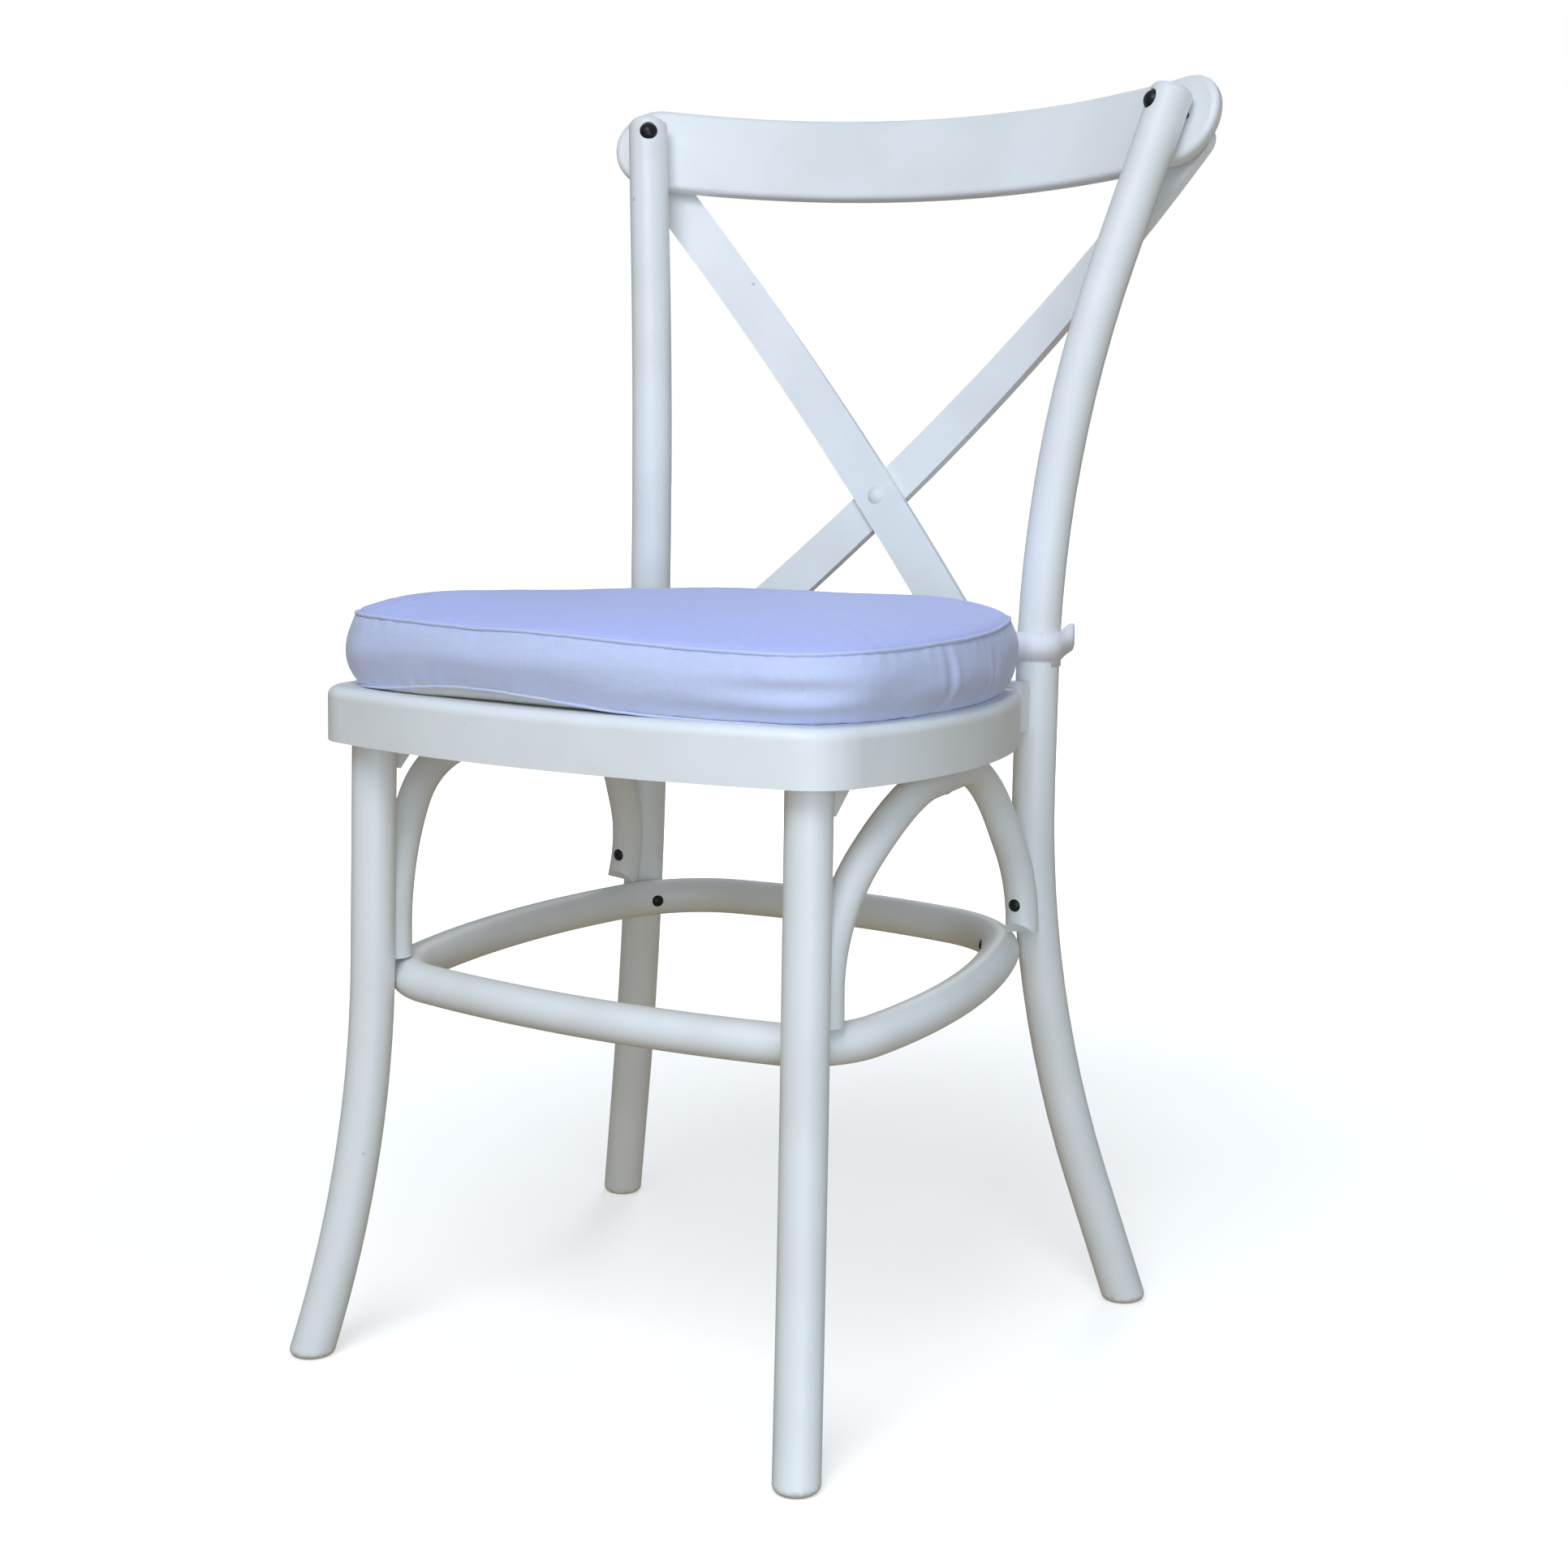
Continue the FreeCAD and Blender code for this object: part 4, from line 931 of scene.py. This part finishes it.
def strap_tape(straps):
    """Tape of the right strap round the middle of its post: an inner layer, then an outer one
    that comes from the cushion, crosses the front of the post and ends in a loose tab."""
    bm = bmesh.new()
    half = straps.width / 2
    inner = straps.post_radius + straps.slack
    low, high = -half - straps.step_down, half - straps.step_down
    wound(bm, inner, low, high, INNER_START, INNER_TURN, INNER_STEPS)
    outer = inner + straps.thickness + LAYER_GAP
    first, last = wound(
        bm, outer, -half, half, OUTER_START, OUTER_END - OUTER_START, OUTER_STEPS
    )
    tab = []
    for number in range(TAB_STEPS):
        heading = OUTER_END + math.pi / 2 - TAB_BEND * number
        across = straps.tab / TAB_STEPS
        rise = straps.tab_rise / TAB_STEPS
        tab.append((across * math.cos(heading), across * math.sin(heading), rise))
    end = run_out(bm, last, tab)
    bmesh.ops.bevel(
        bm, geom=list(end.verts), offset=TAB_CORNER, affect="VERTICES",
        segments=TAB_CORNER_STEPS, profile=0.5, material=-1,
    )
    run_out(bm, first, [Vector(step) * MM for step in TAIL])
    return bm


class CHAIR_OT_straps(bpy.types.Operator):
    """Wind the tape of each strap round its post"""

    bl_idname = "chair.straps"
    bl_label = "Straps"

    def execute(self, context):
        scene = context.scene
        straps, finish = scene.chair_straps, scene.chair_finish
        tape = woven_cloth("brushed_nylon_tape", finish.tape, finish.thread, TAPE_SHEEN)
        for side, word in ((1, "right"), (-1, "left")):
            node = "cushion_strap_" + word
            low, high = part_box(node)
            outer_side = high.x if side > 0 else low.x
            reach = straps.post_radius + STRAP_STAND
            middle = Vector((outer_side - side * reach, high.y - reach, straps.height))
            bm = strap_tape(straps)
            place = Matrix.Translation(middle) @ Matrix.Diagonal((side, 1, 1, 1))
            bmesh.ops.transform(bm, matrix=place, verts=bm.verts)
            if side < 0:
                bmesh.ops.reverse_faces(bm, faces=bm.faces[:])
            piece = mesh_object("strap_tape_" + word, bm)
            wall = piece.modifiers.new("tape_thickness", "SOLIDIFY")
            wall.thickness = straps.thickness
            wall.offset = 1.0
            finish_piece(piece, tape, [node])
        return {"FINISHED"}


# Wooden frame and metal parts


class CHAIR_OT_frame(bpy.types.Operator):
    """Paint the wooden frame, and finish the seat panel"""

    bl_idname = "chair.frame"
    bl_label = "Frame"

    def execute(self, context):
        finish = context.scene.chair_finish
        coat_nodes(PAINTED_NODES, satin_paint("satin_paint_on_beech", finish))
        coat_nodes(PANEL_NODES, birch_plywood(finish))
        return {"FINISHED"}


class CHAIR_OT_fasteners(bpy.types.Operator):
    """Finish the screws, and the bolt at the crossing"""

    bl_idname = "chair.fasteners"
    bl_label = "Fasteners"

    def execute(self, context):
        finish = context.scene.chair_finish
        coat_nodes(BLACK_STEEL_NODES, black_oxide(finish))
        coat_nodes(PAINTED_STEEL_NODES, satin_paint("satin_paint_on_steel", finish))
        return {"FINISHED"}


# Stage


def lay_floor(stage):
    """Matt paper floor that fades into the backdrop. It takes shadows but returns no light to
    the chair, because the lower light stands for that."""
    bm = bmesh.new()
    bmesh.ops.create_circle(bm, cap_ends=True, segments=64, radius=FLOOR_RADIUS)
    floor = mesh_object("studio_floor", bm)
    material, tree, place = new_material("matt_paper_floor")
    slow = add_node(tree, "ShaderNodeTexNoise", inputs={"Vector": place, "Scale": 1 / FLOOR_PATCH})
    tone = add_node(
        tree, "ShaderNodeMix", COLOURS,
        {SHARE: slow.outputs["Fac"], FIRST: stage.floor_dull, SECOND: stage.floor},
    )
    away = add_node(tree, "ShaderNodeVectorMath", {"operation": "LENGTH"}, {0: place})
    glow = add_node(
        tree, "ShaderNodeMapRange", {"interpolation_type": "SMOOTHSTEP"},
        {
            "Value": away.outputs["Value"],
            "From Min": stage.floor_near, "From Max": stage.floor_far,
            "To Min": FLOOR_GLOW, "To Max": 1.0,
        },
    )
    shader = add_node(
        tree, "ShaderNodeBsdfPrincipled",
        inputs={
            "Base Color": tone.outputs[MIXED], "Roughness": 0.9, "Specular IOR Level": 0.0,
            "Emission Color": stage.backdrop, "Emission Strength": glow.outputs["Result"],
        },
    )
    finish_material(tree, shader)
    floor.data.materials.append(material)
    floor.visible_diffuse = floor.visible_glossy = False


def light_surround(scene, stage):
    """Cool light from above and warm light from below, with a plain backdrop for the eye."""
    world = bpy.data.worlds.new("soft_surround")
    world.use_nodes = True
    scene.world = world
    tree = world.node_tree
    tree.nodes.clear()
    direction = add_node(tree, "ShaderNodeTexCoord").outputs["Generated"]
    climb = add_node(tree, "ShaderNodeSeparateXYZ", inputs={"Vector": direction}).outputs["Z"]
    share = add_node(
        tree, "ShaderNodeMapRange", inputs={"Value": climb, "From Min": -0.2, "From Max": 0.35}
    )
    lower = [channel * stage.ground_strength for channel in stage.ground]
    upper = [channel * stage.sky_strength for channel in stage.sky]
    tone = add_node(
        tree, "ShaderNodeMix", COLOURS,
        {SHARE: share.outputs["Result"], FIRST: lower, SECOND: upper},
    )
    light = add_node(tree, "ShaderNodeBackground", inputs={"Color": tone.outputs[MIXED]})
    backdrop = add_node(tree, "ShaderNodeBackground", inputs={"Color": stage.backdrop})
    seen = add_node(tree, "ShaderNodeLightPath").outputs["Is Camera Ray"]
    mixed = add_node(
        tree, "ShaderNodeMixShader", inputs={0: seen, 1: light.outputs[0], 2: backdrop.outputs[0]}
    )
    add_node(tree, "ShaderNodeOutputWorld", inputs={"Surface": mixed.outputs[0]})


def hang_light(stage, name):
    """A broad round light that faces the middle of the chair, from the settings under its name."""
    words = ("power", "turn", "climb", "distance", "size")
    watts, turn, climb, distance, size = (getattr(stage, f"{name}_{word}") for word in words)
    data = bpy.data.lights.new(name + "_light", "AREA")
    data.color = getattr(stage, name)[:3]
    data.energy = watts
    data.shape = "DISK"
    data.size = size
    level = Vector((math.cos(turn), math.sin(turn), 0))
    away = level * math.cos(climb) + Vector((0, 0, math.sin(climb)))
    middle = (Vector(CAD_BOX[0]) + Vector(CAD_BOX[1])) / 2
    light = link_object(name + "_light", data)
    light.location = middle + away * distance
    light.rotation_mode = "QUATERNION"
    light.rotation_quaternion = (-away).to_track_quat("-Z", "Y")


def set_camera(scene, stage):
    """The camera of the photograph, fitted to the chair."""
    data = bpy.data.cameras.new("photo_camera")
    data.sensor_fit = "HORIZONTAL"
    data.sensor_width = 36.0
    data.lens = stage.lens
    data.clip_end = 60.0
    camera = link_object("photo_camera", data)
    dip = Matrix.Rotation(math.pi / 2 - stage.camera_dip, 4, "X")
    turn = Matrix.Rotation(stage.camera_turn, 4, "Z") @ dip
    camera.matrix_world = Matrix.Translation(stage.camera_place) @ turn
    scene.camera = camera


class CHAIR_OT_stage(bpy.types.Operator):
    """Lay the floor, and set the lights and the camera"""

    bl_idname = "chair.stage"
    bl_label = "Stage"

    def execute(self, context):
        scene = context.scene
        stage = scene.chair_stage
        lay_floor(stage)
        light_surround(scene, stage)
        for name in ("key", "fill", "back"):
            hang_light(stage, name)
        set_camera(scene, stage)
        scene.view_settings.view_transform = "Standard"
        return {"FINISHED"}


GROUPS = {
    "chair_finish": ChairFinish,
    "chair_cushion": ChairCushion,
    "chair_straps": ChairStraps,
    "chair_stage": ChairStage,
}
STEPS = {
    "chair_finish": ("chair.frame", "chair.fasteners"),
    "chair_cushion": ("chair.cushion",),
    "chair_straps": ("chair.straps",),
    "chair_stage": ("chair.stage",),
}


class CHAIR_PT_parts(bpy.types.Panel):
    """The chair's pieces and sizes"""

    bl_label = "Cross back chair"
    bl_idname = "CHAIR_PT_parts"
    bl_space_type = "VIEW_3D"
    bl_region_type = "UI"
    bl_category = "Chair"

    def draw(self, context):
        for group, operators in STEPS.items():
            box = self.layout.box()
            settings = getattr(context.scene, group)
            for name in GROUPS[group].__annotations__:
                box.prop(settings, name)
            for operator in operators:
                box.operator(operator)


OPERATORS = (
    CHAIR_OT_stage, CHAIR_OT_frame, CHAIR_OT_fasteners, CHAIR_OT_cushion, CHAIR_OT_straps,
)


def register():
    for name, settings in GROUPS.items():
        bpy.utils.register_class(settings)
        setattr(bpy.types.Scene, name, PointerProperty(type=settings))
    for operator in OPERATORS:
        bpy.utils.register_class(operator)
    bpy.utils.register_class(CHAIR_PT_parts)


def unregister():
    bpy.utils.unregister_class(CHAIR_PT_parts)
    for operator in reversed(OPERATORS):
        bpy.utils.unregister_class(operator)
    for name, settings in reversed(GROUPS.items()):
        delattr(bpy.types.Scene, name)
        bpy.utils.unregister_class(settings)


def main():
    register()
    bpy.ops.chair.stage()
    bpy.ops.chair.frame()
    bpy.ops.chair.fasteners()
    bpy.ops.chair.cushion()
    bpy.ops.chair.straps()


if __name__ == "__main__":
    main()
